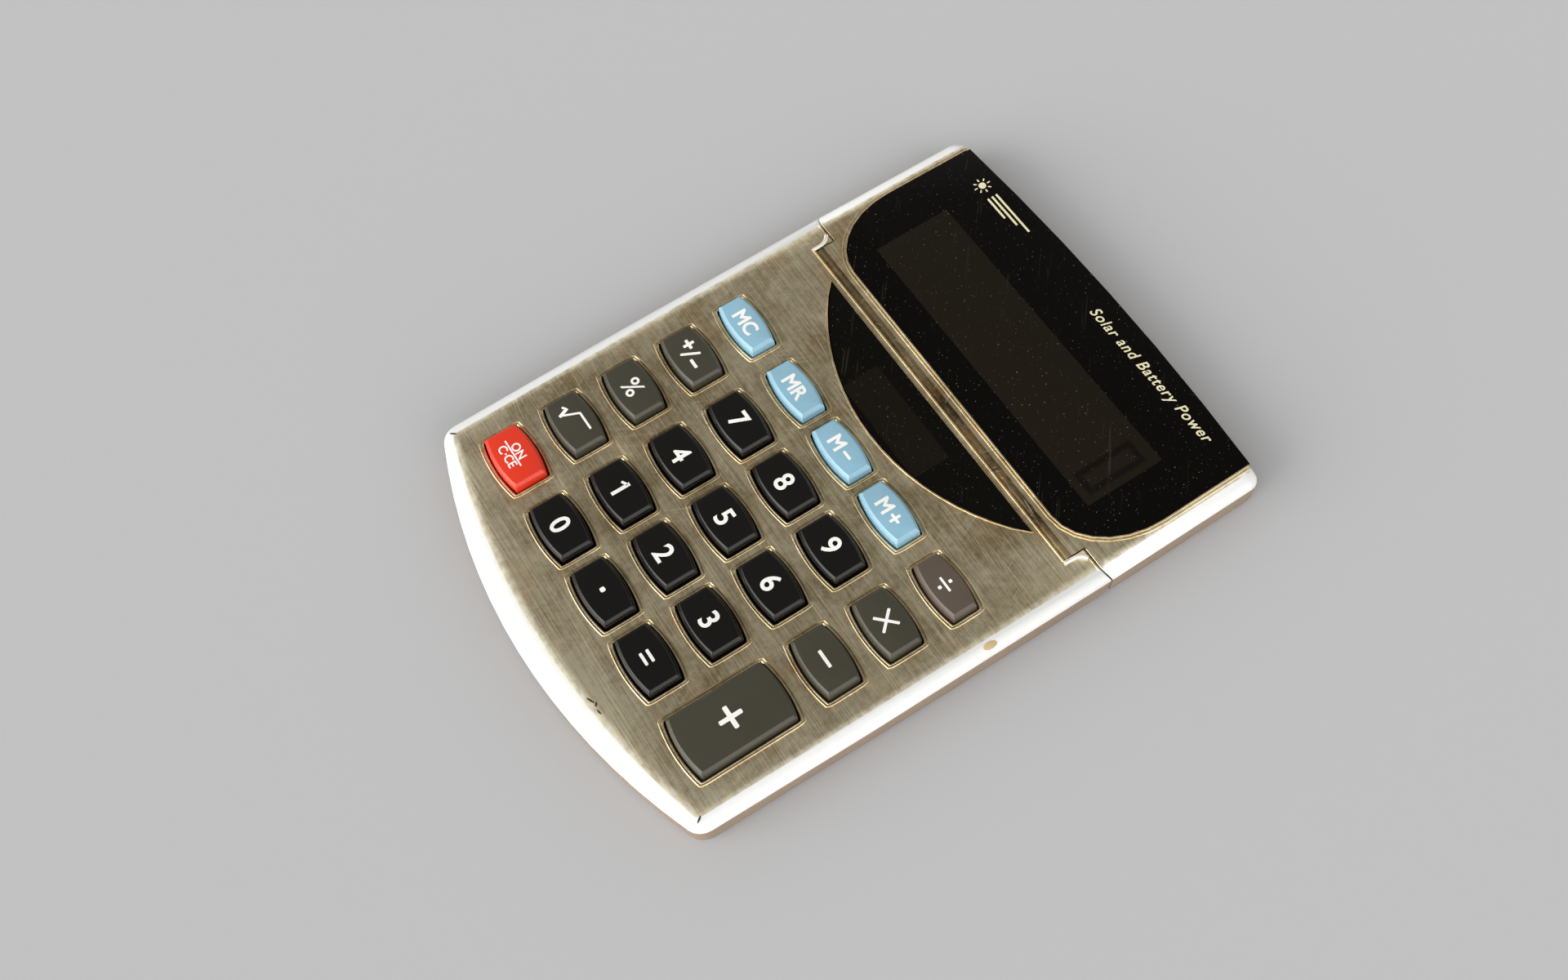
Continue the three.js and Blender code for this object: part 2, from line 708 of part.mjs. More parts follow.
function keyFrame() {
  const frameRear = hingeY + earRadius;
  const plate = toSolid(prism(baseFoldOutline(clearance, frameRear), frameBottomZ, frameTopZ));
  const bosses = baseScrews.map(({ x, y }) =>
    toSolid(post(x, y, frameBossRadius, bossTopZ + clearance, frameBottomZ + fuse)));
  const keyHoles = keys.map(({ x, y, width, length }) =>
    toSolid(prism(keyOutline(x, y, width, length, keyFrameGap, 2), 0, 2 * overshoot)));
  const barrelGap = toSolid(block(-earInnerX, earInnerX, rearWallY, hingeY + overshoot, 0, 2 * overshoot));
  const pinBore = toSolid(hingeRod(
    pinRadius + clearance, -earInnerX - pinInEar - clearance, earInnerX + pinInEar + clearance, 14));
  const windowSeat = toSolid(prism(windowOutline(clearance), windowBottomZ - clearance, 2 * overshoot));
  const cellHole = toSolid(block(
    -cellHalfLength - clearance, cellHalfLength + clearance,
    cellY - cellWidth / 2 - clearance, cellY + cellWidth / 2 + clearance, 0, 2 * overshoot));
  const screwHoles = baseScrews.map(({ x, y }) =>
    toSolid(post(x, y, screwRadius + clearance, 0, frameTopZ - screwTipCover, 10)));
  return cutBy(joined([plate, ...bosses]), [
    barrelGap,
    beyondEar(earRadius - clearance),
    pinBore,
    windowSeat,
    cellHole,
    ...screwHoles,
    ...keyHoles,
  ]);
}

const lastRowY = rowY(keyRows.length - 1);
const matFrontY = lastRowY - keyLength / 2 - matFrontBorder;
const matRearY = memoryRowY + memoryKeyLength / 2 + matRearBorder;

function keypadMat() {
  const sheet = toSolid(block(-matHalfWidth, matHalfWidth, matFrontY, matRearY, matBottomZ, matTopZ));
  const domes = keys.map(({ x, y }) => {
    const dome = new THREE.CylinderGeometry(domeTopRadius, domeFootRadius, domeTopZ - matTopZ + fuse, 8);
    dome.rotateX(Math.PI / 2);
    dome.translate(x, y, (domeTopZ + matTopZ - fuse) / 2);
    return toSolid(dome);
  });
  return joined([sheet, ...domes]);
}

const boardNotchX = doorLowX - clearance - bayWall - boardBayGap; // the board stops here beside the bay

// The board fills the tray and stops short of the battery bay.
function mainBoard() {
  const boardRearY = rearWallY - wall - boardWallGap;
  const bayEdgeY = batteryY - bayHalf - boardBayGap;
  const outline = [
    [-boardHalfWidth, matFrontY],
    [boardHalfWidth, matFrontY],
    [boardHalfWidth, bayEdgeY],
    [boardNotchX, bayEdgeY],
    [boardNotchX, boardRearY],
    [-boardHalfWidth, boardRearY],
  ];
  return prism(outline, boardBottomZ, boardTopZ);
}

function chipBlob() {
  const blob = new THREE.CylinderGeometry(chipTopRadius, chipFootRadius, chipHeight, 20);
  blob.rotateX(Math.PI / 2);
  blob.translate(chipX, hingeY - chipSetback, boardTopZ + clearance + chipHeight / 2);
  return blob;
}

function solarLead(x) {
  const startZ = cellBottomZ - clearance - leadRadius;
  const endZ = boardTopZ + clearance + leadRadius;
  const path = new THREE.CatmullRomCurve3([0, 1 / 3, 2 / 3, 1].map((share) => new THREE.Vector3(
    x, cellY + leadReach * share, startZ + (endZ - startZ) * THREE.MathUtils.smoothstep(share, 0, 1))));
  const section = new THREE.Shape(arcPoints(0, 0, leadRadius, 0, 2 * Math.PI, 8).slice(0, 8)
    .map(([px, py]) => new THREE.Vector2(px, py)));
  return new THREE.ExtrudeGeometry(section, { steps: 5, bevelEnabled: false, extrudePath: path });
}

// A thin strip that follows a route in the Y-Z plane.
function strip(route, thickness, lowX, highX) {
  const side = (sign) => route.map(([y, z], i) => {
    const [y0, z0] = route[Math.max(i - 1, 0)];
    const [y1, z1] = route[Math.min(i + 1, route.length - 1)];
    const length = Math.hypot(y1 - y0, z1 - z0);
    const shift = (sign * thickness) / 2 / length;
    return [y - (z1 - z0) * shift, z + (y1 - y0) * shift];
  });
  return crossSection([...side(-1), ...side(1).reverse()], lowX, highX);
}

// The negative clip reaches over the cell from the board, the positive one stands beside it.
function clipMinus() {
  const overCellZ = batteryBottomZ + batteryHeight + clearance + clipThickness / 2;
  const footZ = boardTopZ + clearance + clipThickness / 2;
  const footEndX = boardNotchX - minusClipMargin;
  const route = [
    [footEndX - minusClipFoot, footZ],
    [footEndX, footZ],
    [footEndX + minusClipRise, overCellZ],
    [batteryX + minusClipReach, overCellZ],
  ];
  const clip = strip(
    route, clipThickness, -batteryY - minusClipHalfWidth, -batteryY + minusClipHalfWidth);
  return clip.rotateZ(-Math.PI / 2);
}

function clipPlus() {
  const besideX = batteryX + batteryRadius + clearance;
  return block(
    besideX, besideX + clipThickness, batteryY - plusClipHalfWidth, batteryY + plusClipHalfWidth,
    bayTopZ + clearance, batteryBottomZ + batteryHeight - plusClipDrop);
}

function batteryDoor() {
  const door = toSolid(block(
    doorLowX, doorHighX, batteryY - doorHalfWidth, batteryY + doorHalfWidth, shellBottomZ, doorTopZ));
  const { x, y } = doorScrew;
  const hole = post(x, y, screwRadius + clearance, 0, overshoot, 10);
  const counterbore = post(
    x, y, screwHeadRadius + clearance, 0, shellBottomZ + doorScrewSink + clearance);
  return cutBy(door, [toSolid(hole), toSolid(counterbore)]);
}

// A pan-head self-tapping screw, driven up from below.
function screw({ x, y }, headBottomZ, headHeight, tipZ) {
  const head = toSolid(post(x, y, screwHeadRadius, headBottomZ, headBottomZ + headHeight));
  const shank = toSolid(post(x, y, screwRadius, headBottomZ + headHeight / 2, tipZ, 8));
  const slotTopZ = headBottomZ + 0.4 * headHeight;
  const slots = [[screwSlotLength, screwSlotWidth], [screwSlotWidth, screwSlotLength]].map(
    ([sizeX, sizeY]) => toSolid(block(
      x - sizeX / 2, x + sizeX / 2, y - sizeY / 2, y + sizeY / 2,
      headBottomZ - shortOvershoot, slotTopZ)));
  return cutBy(head.add(shank), slots);
}

// Inner pieces of the head

function lcdHolder() {
  const outerHalf = lcdHalfWidth + clearance + holderWall;
  const frontEdge = hingeY + lcdFrontY - clearance - holderWall;
  const rearEdge = hingeY + headScrewY + bossRadius;
  const tray = toSolid(block(-outerHalf, outerHalf, frontEdge, rearEdge, holderBottomZ, lcdTopZ));
  const pocket = toSolid(block(
    -lcdHalfWidth - clearance, lcdHalfWidth + clearance,
    hingeY + lcdFrontY - clearance, hingeY + lcdRearY + clearance, holderFloorTopZ, 2 * overshoot));
  const rearStep = toSolid(block(
    -halfWidth, halfWidth, hingeY + lcdRearY + clearance + holderWall, rearEdge + shortOvershoot,
    holderFloorTopZ + holderRearHeight, 2 * overshoot));
  const ribbonGate = toSolid(block(
    -ribbonHalfWidth - ribbonSideGap, ribbonHalfWidth + ribbonSideGap,
    frontEdge - shortOvershoot, hingeY + lcdFrontY, holderFloorTopZ, 2 * overshoot));
  const holes = headScrews.map(({ x, y }) =>
    toSolid(post(x, y, screwRadius + clearance, 0, 2 * overshoot, 10)));
  return cutBy(tray, [pocket, rearStep, ribbonGate, ...holes]);
}

function lcdGlass() {
  return block(-lcdHalfWidth, lcdHalfWidth, hingeY + lcdFrontY, hingeY + lcdRearY, lcdBottomZ, lcdTopZ);
}

function lcdCushion() {
  return block(
    -lcdHalfWidth + cushionSideMargin, lcdHalfWidth - cushionSideMargin,
    hingeY + lcdFrontY + cushionFrontMargin, hingeY + lcdRearY - cushionRearMargin,
    cushionBottomZ, cushionTopZ);
}

// From the board, under the barrel and up to the front edge of the display.
function ribbonCable() {
  const boardZ = boardTopZ + clearance + ribbonThickness / 2;
  const glassZ = lcdBottomZ - clearance - ribbonThickness / 2;
  const route = [
    [hingeY - ribbonRun, boardZ],
    [hingeY - 4.6, boardZ],
    [hingeY - 3.6, boardZ - 0.15],
    [hingeY - 2.4, (boardZ + ribbonZ) / 2 - 0.15],
    [hingeY - 1, ribbonZ + 0.05],
    [hingeY + 0.5, ribbonZ],
    [hingeY + 2.4, ribbonZ],
    [hingeY + 3.6, ribbonZ + 0.4],
    [hingeY + 4.1, holderBottomZ - clearance],
    [hingeY + 4.4, holderFloorTopZ],
    [hingeY + 4.9, glassZ - 0.3],
    [hingeY + 6, glassZ],
    [hingeY + lcdFrontY + ribbonLap, glassZ],
  ];
  return strip(route, ribbonThickness, -ribbonHalfWidth, ribbonHalfWidth);
}

// The assembly

const calculator = new THREE.Group();
const base = new THREE.Group();
const head = new THREE.Group();
const keyField = new THREE.Group();
calculator.add(base, head, keyField);

function addPiece(group, name, shape, material, position = [0, 0, 0]) {
  const geometry = shape instanceof THREE.BufferGeometry ? shape : toGeometry(shape);
  const mesh = new THREE.Mesh(geometry, material);
  mesh.name = name;
  mesh.position.set(...position);
  group.add(mesh);
}

addPiece(base, 'base_shell', baseShell(), shellPlastic);
addPiece(base, 'key_frame', keyFrame(), framePlastic);
addPiece(base, 'faceplate', faceplate(), brushedMetal);
addPiece(base, 'solar_window', prism(windowOutline(-clearance), windowBottomZ, windowTopZ), lensPlastic);
addPiece(base, 'solar_cell', block(
  -cellHalfLength, cellHalfLength, cellY - cellWidth / 2, cellY + cellWidth / 2,
  cellBottomZ, cellTopZ), solarGlass);
addPiece(base, 'solar_lead_red', solarLead(redLeadX), redWire);
addPiece(base, 'solar_lead_black', solarLead(blackLeadX), blackWire);
addPiece(base, 'keypad_mat', keypadMat(), silicone);
addPiece(base, 'main_board', mainBoard(), boardMaterial);
addPiece(base, 'chip_blob', chipBlob(), epoxy);
addPiece(base, 'battery_cell', post(
  batteryX, batteryY, batteryRadius, batteryBottomZ, batteryBottomZ + batteryHeight, 24), steel);
addPiece(base, 'battery_clip_minus', clipMinus(), brass);
addPiece(base, 'battery_clip_plus', clipPlus(), brass);
addPiece(base, 'battery_door', batteryDoor(), shellPlastic);
addPiece(base, 'battery_door_screw', screw(
  doorScrew, shellBottomZ + doorScrewSink - doorScrewHeadHeight, doorScrewHeadHeight,
  bayTopZ - 2 * clearance), steel);
for (const place of baseScrews) {
  const tip = frameTopZ - screwTipCover - clearance;
  addPiece(base, place.name, screw(place, screwHeadBottomZ, screwHeadHeight, tip), steel);
}
for (const { name, x, y } of feet) {
  addPiece(base, name, post(x, y, footRadius, 0, shellBottomZ + footSink, 18), rubber);
}
for (const [name, side] of [['hinge_pin_left', -1], ['hinge_pin_right', 1]]) {
  const inner = side * (barrelHalfLength - pinInBarrel);
  const outer = side * (earInnerX + pinInEar);
  addPiece(base, name, hingeRod(pinRadius, Math.min(inner, outer), Math.max(inner, outer), 14), steel);
}
addPiece(base, 'ribbon_cable', ribbonCable(), flexFilm);

for (const key of keys) {
  addPiece(keyField, key.name, keyCap(key), key.material, [key.x, key.y, 0]);
}

addPiece(head, 'head_back_shell', headBackShell(), shellPlastic);
addPiece(head, 'head_plate', headPlate(), brushedMetal);
addPiece(head, 'display_lens', prism(lensOutline(0, lensRearInset), lensBottomZ, plateTopZ), lensPlastic);
addPiece(head, 'lcd_holder', lcdHolder(), framePlastic);
addPiece(head, 'lcd_glass', lcdGlass(), displayGlass);
addPiece(head, 'lcd_cushion', lcdCushion(), foam);
for (const place of headScrews) {
  addPiece(head, place.name, screw(
    place, screwHeadBottomZ, screwHeadHeight, lcdTopZ - headScrewTipDrop), steel);
}

export default calculator;
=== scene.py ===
import math
from contextlib import contextmanager

import bmesh
import bpy
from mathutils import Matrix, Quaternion, Vector


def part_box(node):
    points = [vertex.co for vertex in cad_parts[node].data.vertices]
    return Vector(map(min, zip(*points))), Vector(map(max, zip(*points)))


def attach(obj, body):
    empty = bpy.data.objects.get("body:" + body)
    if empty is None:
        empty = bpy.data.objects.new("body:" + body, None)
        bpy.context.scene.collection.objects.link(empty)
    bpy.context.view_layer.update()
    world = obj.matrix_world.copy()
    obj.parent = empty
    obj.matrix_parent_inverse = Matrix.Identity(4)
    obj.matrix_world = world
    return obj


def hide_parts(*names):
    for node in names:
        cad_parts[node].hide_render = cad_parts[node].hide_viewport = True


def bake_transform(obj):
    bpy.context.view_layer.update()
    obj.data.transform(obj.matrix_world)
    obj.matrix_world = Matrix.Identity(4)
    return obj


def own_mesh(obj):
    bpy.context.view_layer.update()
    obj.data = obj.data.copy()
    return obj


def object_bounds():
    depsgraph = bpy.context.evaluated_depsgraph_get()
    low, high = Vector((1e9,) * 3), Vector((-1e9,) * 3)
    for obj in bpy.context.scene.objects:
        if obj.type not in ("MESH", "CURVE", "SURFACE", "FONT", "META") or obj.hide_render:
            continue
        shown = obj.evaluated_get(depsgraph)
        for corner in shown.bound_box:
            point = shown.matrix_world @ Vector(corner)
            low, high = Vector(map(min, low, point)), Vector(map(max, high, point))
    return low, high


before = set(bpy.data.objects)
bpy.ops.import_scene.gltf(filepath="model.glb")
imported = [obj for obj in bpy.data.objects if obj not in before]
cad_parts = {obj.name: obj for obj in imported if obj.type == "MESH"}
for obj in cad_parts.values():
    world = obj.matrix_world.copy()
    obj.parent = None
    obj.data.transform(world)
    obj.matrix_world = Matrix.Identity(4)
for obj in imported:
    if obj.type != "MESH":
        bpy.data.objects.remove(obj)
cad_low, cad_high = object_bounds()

# The studio: a camera above the right-hand corner, a pale floor that the rubber feet stand on, a room
# that is bright round the sides and dim overhead, low softboxes in front and at the right, and a soft lamp.
mm = 0.001


def srgb(red, green, blue):
    """A display colour, 0 to 255, as the linear colour that a shader takes."""
    shares = (red / 255, green / 255, blue / 255)
    linear = [v / 12.92 if v < 0.04 else ((v + 0.055) / 1.055) ** 2.4 for v in shares]
    return (*linear, 1)


def node(tree, kind, inputs=None, **settings):
    """Adds a node to a tree. Each input is a value, or the output socket that it is linked to."""
    made = tree.nodes.new("ShaderNode" + kind)
    for name, value in settings.items():
        setattr(made, name, value)
    for name, value in (inputs or {}).items():
        if isinstance(value, bpy.types.NodeSocket):
            tree.links.new(value, made.inputs[name])
        else:
            made.inputs[name].default_value = value
    return made


def finish(name, color, roughness, metallic=0.0, **sockets):
    """A material with its Principled shader's constants set, and that shader."""
    material = bpy.data.materials.new(name)
    material.use_nodes = True
    shader = material.node_tree.nodes["Principled BSDF"]
    shader.inputs["Base Color"].default_value = color
    shader.inputs["Roughness"].default_value = roughness
    shader.inputs["Metallic"].default_value = metallic
    for socket, value in sockets.items():
        shader.inputs[socket.replace("_", " ")].default_value = value
    return material, shader


view_azimuth = math.radians(65.42)
view_elevation = math.radians(61.87)
view_roll = math.radians(-8.8)
view_distance = 373.93 * mm
view_target = Vector((1.645, -10.89, 10.6)) * mm
lens_length = 41.986
back = Vector((
    math.sin(view_azimuth) * math.cos(view_elevation),
    -math.cos(view_azimuth) * math.cos(view_elevation),
    math.sin(view_elevation),
))
bpy.ops.object.camera_add(location=view_target + back * view_distance)
camera = bpy.context.object
camera.rotation_mode = "QUATERNION"
camera.rotation_quaternion = (-back).to_track_quat("-Z", "Y") @ Quaternion((0, 0, 1), view_roll)
camera.data.sensor_width = 36
camera.data.lens = lens_length
bpy.context.scene.camera = camera
bpy.context.scene.view_settings.view_transform = "Standard"

side_light = 1.0
overhead_light = 0.25
softboxes = (((-0.12, -0.97, 0.2), 0.8, 4.5), ((0.88, 0.1, 0.45), 0.86, 1.6))
softbox_core = 0.96
world = bpy.data.worlds.new("studio_room")
world.use_nodes = True
bpy.context.scene.world = world
room = world.node_tree
direction = node(room, "SeparateXYZ", {0: node(room, "TexCoord").outputs["Generated"]})
brightness = node(room, "MapRange", {
    "Value": direction.outputs["Z"], "From Min": 0.15, "From Max": 0.8,
    "To Min": side_light, "To Max": overhead_light,
}, interpolation_type="SMOOTHSTEP")
for place, edge, strength in softboxes:
    toward = node(room, "VectorMath", {
        0: node(room, "TexCoord").outputs["Generated"], 1: place}, operation="DOT_PRODUCT")
    softbox = node(room, "MapRange", {
        "Value": toward.outputs["Value"], "From Min": edge, "From Max": softbox_core, "To Max": strength,
    }, interpolation_type="SMOOTHSTEP")
    brightness = node(room, "Math", {0: brightness.outputs[0], 1: softbox.outputs[0]}, operation="ADD")
room.links.new(brightness.outputs[0], room.nodes["Background"].inputs["Strength"])
room.nodes["Background"].inputs["Color"].default_value = (1, 0.995, 0.985, 1)

bpy.ops.object.light_add(type="SUN", rotation=(math.radians(38), math.radians(30), 0))
lamp = bpy.context.object
lamp.data.energy = 0.85
lamp.data.angle = math.radians(50)

bpy.ops.mesh.primitive_plane_add(size=6)
floor = bpy.context.object
floor.name = "studio_floor"
floor.data.materials.append(finish("pale_floor", srgb(196, 196, 197), 0.9, Specular_IOR_Level=0.1)[0])


# The four rubber feet: soft black discs with a rounded edge and a shallow dish, stuck into round
# pockets under the base. Tapping them with a finger leaves them dull and slightly grainy.
def alone(piece):
    """Makes a piece the active object, and the only one selected."""
    bpy.ops.object.select_all(action="DESELECT")
    bpy.context.view_layer.objects.active = piece
    piece.select_set(True)


@contextmanager
def editing(piece, everything=False):
    """Opens one piece in edit mode, alone, with everything or nothing selected in it."""
    alone(piece)
    bpy.ops.object.mode_set(mode="EDIT")
    bpy.ops.mesh.select_all(action="SELECT" if everything else "DESELECT")
    yield
    bpy.ops.object.mode_set(mode="OBJECT")


def choose(piece, kind, test):
    """In edit mode, selects just the verts, edges or faces whose middle passes the test.
    The test also gets the normal of a vert or face, or the direction of an edge."""
    bpy.ops.mesh.select_mode(type={"verts": "VERT", "edges": "EDGE", "faces": "FACE"}[kind])
    bpy.ops.mesh.select_all(action="DESELECT")
    mesh = bmesh.from_edit_mesh(piece.data)
    mesh.normal_update()
    for part in getattr(mesh, kind):
        if kind == "verts":
            middle, normal = part.co, part.normal
        elif kind == "faces":
            middle, normal = part.calc_center_median(), part.normal
        else:
            first, last = (vert.co for vert in part.verts)
            middle, normal = (first + last) / 2, (last - first).normalized()
        part.select_set(bool(test(middle, normal)))
    bmesh.update_edit_mesh(piece.data)


def apply_modifier(piece, kind, **settings):
    modifier = piece.modifiers.new(kind.lower(), kind)
    for name, value in settings.items():
        setattr(modifier, name, value)
    alone(piece)
    bpy.ops.object.modifier_apply(modifier=modifier.name)


def settle(piece, name, *materials, angle=35):
    """Puts a piece's place into its mesh, smooths its shallow edges and gives it its materials."""
    piece.name = name
    piece.data.name = name
    alone(piece)
    bpy.ops.object.transform_apply()
    bpy.ops.object.shade_smooth_by_angle(angle=math.radians(angle))
    if not piece.data.materials:
        for material in materials:
            piece.data.materials.append(material)
    return piece


def group_tree(name, inputs, outputs):
    """A new node group with named sockets, and its two end nodes."""
    tree = bpy.data.node_groups.new(name, "ShaderNodeTree")
    for end, sockets in (("INPUT", inputs), ("OUTPUT", outputs)):
        for label, kind in sockets.items():
            tree.interface.new_socket(label, in_out=end, socket_type="NodeSocket" + kind)
    return tree, tree.nodes.new("NodeGroupInput"), tree.nodes.new("NodeGroupOutput")


def place_in_mm(tree):
    """The place on the piece in millimetres, so that a pattern stays with the piece."""
    place = node(tree, "TexCoord").outputs["Object"]
    return node(tree, "VectorMath", {0: place, "Scale": 1 / mm}, operation="SCALE").outputs[0]


def noise(tree, vector, scale, detail, roughness=0.5):
    return node(tree, "TexNoise", {
        "Vector": vector, "Scale": scale, "Detail": detail, "Roughness": roughness}).outputs["Fac"]


def ranged(tree, value, low, high, to_low=0.0, to_high=1.0):
    """A value from low to high, clamped and laid over another range."""
    return node(tree, "MapRange", {
        "Value": value, "From Min": low, "From Max": high, "To Min": to_low, "To Max": to_high,
    }).outputs[0]


def worked(tree, operation, *values):
    """The result of one Math node."""
    return node(tree, "Math", dict(enumerate(values)), operation=operation).outputs[0]


def grain_group():
    """Shared moulded surface: fine grain for a Bump node, and a slow drift of tone and gloss."""
    tree, given, out = group_tree(
        "moulded_grain", {"Color": "Color", "Roughness": "Float", "Grain Size": "Float"},
        {"Color": "Color", "Roughness": "Float", "Height": "Float"})
    per_mm = place_in_mm(tree)
    frequency = worked(tree, "DIVIDE", 1.0, given.outputs["Grain Size"])
    grain = noise(tree, per_mm, frequency, 3.0)
    tone = ranged(tree, noise(tree, per_mm, 0.09, 4.0), 0.3, 0.7, 0.93, 1.05)
    color = node(tree, "VectorMath", {0: given.outputs["Color"], "Scale": tone}, operation="SCALE")
    gloss = ranged(tree, grain, 0.3, 0.7, 0.9, 1.12)
    tree.links.new(color.outputs[0], out.inputs["Color"])
    tree.links.new(worked(tree, "MULTIPLY", given.outputs["Roughness"], gloss), out.inputs["Roughness"])
    tree.links.new(grain, out.inputs["Height"])
    return tree


moulded_grain = grain_group()


def surfaced(tree, shader, group, depth):
    """Feeds a shader with a group's colour, gloss and height. Depth is in mm."""
    bump = node(tree, "Bump", {"Height": group.outputs["Height"], "Distance": depth * mm})
    tree.links.new(group.outputs["Color"], shader.inputs["Base Color"])
    tree.links.new(group.outputs["Roughness"], shader.inputs["Roughness"])
    tree.links.new(bump.outputs[0], shader.inputs["Normal"])


def moulded(name, color, roughness, grain_size=0.25, grain_depth=0.01, metallic=0.0, **sockets):
    """A material whose colour, gloss and bump come from the shared moulded grain. Sizes in mm."""
    material, shader = finish(name, color, roughness, metallic, **sockets)
    tree = material.node_tree
    grain = node(tree, "Group", {"Color": color, "Roughness": roughness, "Grain Size": grain_size},
                 node_tree=moulded_grain)
    surfaced(tree, shader, grain, grain_depth)
    return material


foot_rubber = moulded("foot_rubber", srgb(46, 44, 42), 0.8, grain_size=0.15, grain_depth=0.03)
for corner in ("front_left", "front_right", "rear_left", "rear_right"):
    low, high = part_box("foot_" + corner)
    bpy.ops.mesh.primitive_cylinder_add(
        vertices=64, radius=(high.x - low.x) / 2, depth=high.z - low.z, location=(low + high) / 2)
    foot = settle(bpy.context.object, "rubber_foot_" + corner, foot_rubber)
    with editing(foot):
        choose(foot, "faces", lambda middle, normal: normal.z < -0.9)
        bpy.ops.mesh.bevel(offset=0.35 * mm, segments=4)
        choose(foot, "faces", lambda middle, normal: normal.z < -0.99 and middle.z < low.z + 0.01 * mm)
        bpy.ops.mesh.inset(thickness=0.8 * mm, depth=0)
        bpy.ops.mesh.inset(thickness=0.4 * mm, depth=-0.12 * mm)
    settle(foot, foot.name)
    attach(foot, "base")
    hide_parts("foot_" + corner)


# The base shell: an injection-moulded brown-grey tray that shows as the band under the metal skin.
# Its edges are rounded by the mould, and two fine ribs run all round the band.
def bench_copy(cad_node):
    """A copy of a CAD node's mesh with its loose triangles joined into whole faces."""
    piece = bpy.data.objects.new(cad_node + "_copy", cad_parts[cad_node].data.copy())
    bpy.context.scene.collection.objects.link(piece)
    piece.data.materials.clear()
    with editing(piece, everything=True):
        bpy.ops.mesh.remove_doubles(threshold=0.001 * mm)
        bpy.ops.mesh.dissolve_limited(angle_limit=math.radians(0.5))
    return piece


def soften(piece, width, segments=2, angle=38):
    """Rounds every hard edge a little, as moulding and pressing do."""
    apply_modifier(piece, "BEVEL", width=width, segments=segments, limit_method="ANGLE",
                   angle_limit=math.radians(angle), use_clamp_overlap=True)


def softened_copy(cad_node, name, material, width, segments=2):
    """A copy of a CAD node with its hard edges rounded, in its own material."""
    piece = bench_copy(cad_node)
    soften(piece, width, segments)
    return settle(piece, name, material)


def drawn_as_bead(piece, radius, offset=0.0):
    """Turns a piece's edges into a round bead of metal or plastic that runs along them."""
    alone(piece)
    bpy.ops.object.convert(target="CURVE")
    bead = bpy.context.object
    bead.data.bevel_depth = radius
    bead.data.bevel_resolution = 3
    bead.data.offset = offset
    bpy.ops.object.convert(target="MESH")
    return bpy.context.object


def bead_along(places, radius):
    """A round bead through five places, as a mesh."""
    bpy.ops.object.select_all(action="DESELECT")
    bpy.ops.curve.primitive_nurbs_path_add()
    path = bpy.context.object
    for point, place in zip(path.data.splines[0].points, places):
        point.co = (*place, 1)
    path.data.splines[0].order_u = 3
    path.data.bevel_depth = radius
    path.data.bevel_resolution = 3
    path.data.use_fill_caps = True
    bpy.ops.object.convert(target="MESH")
    return bpy.context.object


def joined(first, *others):
    alone(first)
    for other in others:
        other.select_set(True)
    bpy.ops.object.join()
    return first


band_plastic = moulded("band_plastic", srgb(158, 138, 118), 0.5, grain_size=0.2, grain_depth=0.012)
cut_tolerance = 1e-7


def on_band(point):
    """True on the outside of the shells' wall, and false on what stands inside it."""
    half_width = cad_high.x - 1.3 * mm
    corner_depth = 12 * mm
    front = cad_low.y + 1.2 * mm + corner_depth * (point.x / half_width) ** 2
    return abs(point.x) > half_width or point.y < front or point.y > cad_high.y - 4 * mm


def shell_with_ribs(cad_node, name):
    """A plastic shell with softened edges and two fine ribs along the outside of its wall."""
    shell = bench_copy(cad_node)
    low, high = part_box("base_shell")
    rib_stand = 0.18 * mm
    drawn_in = (1 - rib_stand / high.x, 1 - rib_stand / cad_high.y, 1)
    with editing(shell):
        choose(shell, "verts", lambda middle, normal: on_band(middle))
        bpy.ops.transform.resize(value=drawn_in, center_override=(0, 0, 0))
    for height, radius in ((0.9, 0.16), (0.62, 0.1)):
        rib = bench_copy(cad_node)
        level = low.z + height * (high.z - low.z)
        with editing(rib, everything=True):
            bpy.ops.transform.resize(value=drawn_in, center_override=(0, 0, 0))
            bpy.ops.mesh.select_all(action="SELECT")
            bpy.ops.mesh.bisect(
                plane_co=(0, 0, level), plane_no=(0, 0, 1), clear_inner=True, clear_outer=True,
                threshold=cut_tolerance)
            choose(rib, "verts", lambda middle, normal: not on_band(middle))
            bpy.ops.mesh.delete(type="VERT")
        shell = joined(shell, drawn_as_bead(rib, radius * mm))
    soften(shell, 0.12 * mm)
    return settle(shell, name, band_plastic)


base_band = shell_with_ribs("base_shell", "base_band")
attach(base_band, "base")
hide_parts("base_shell")

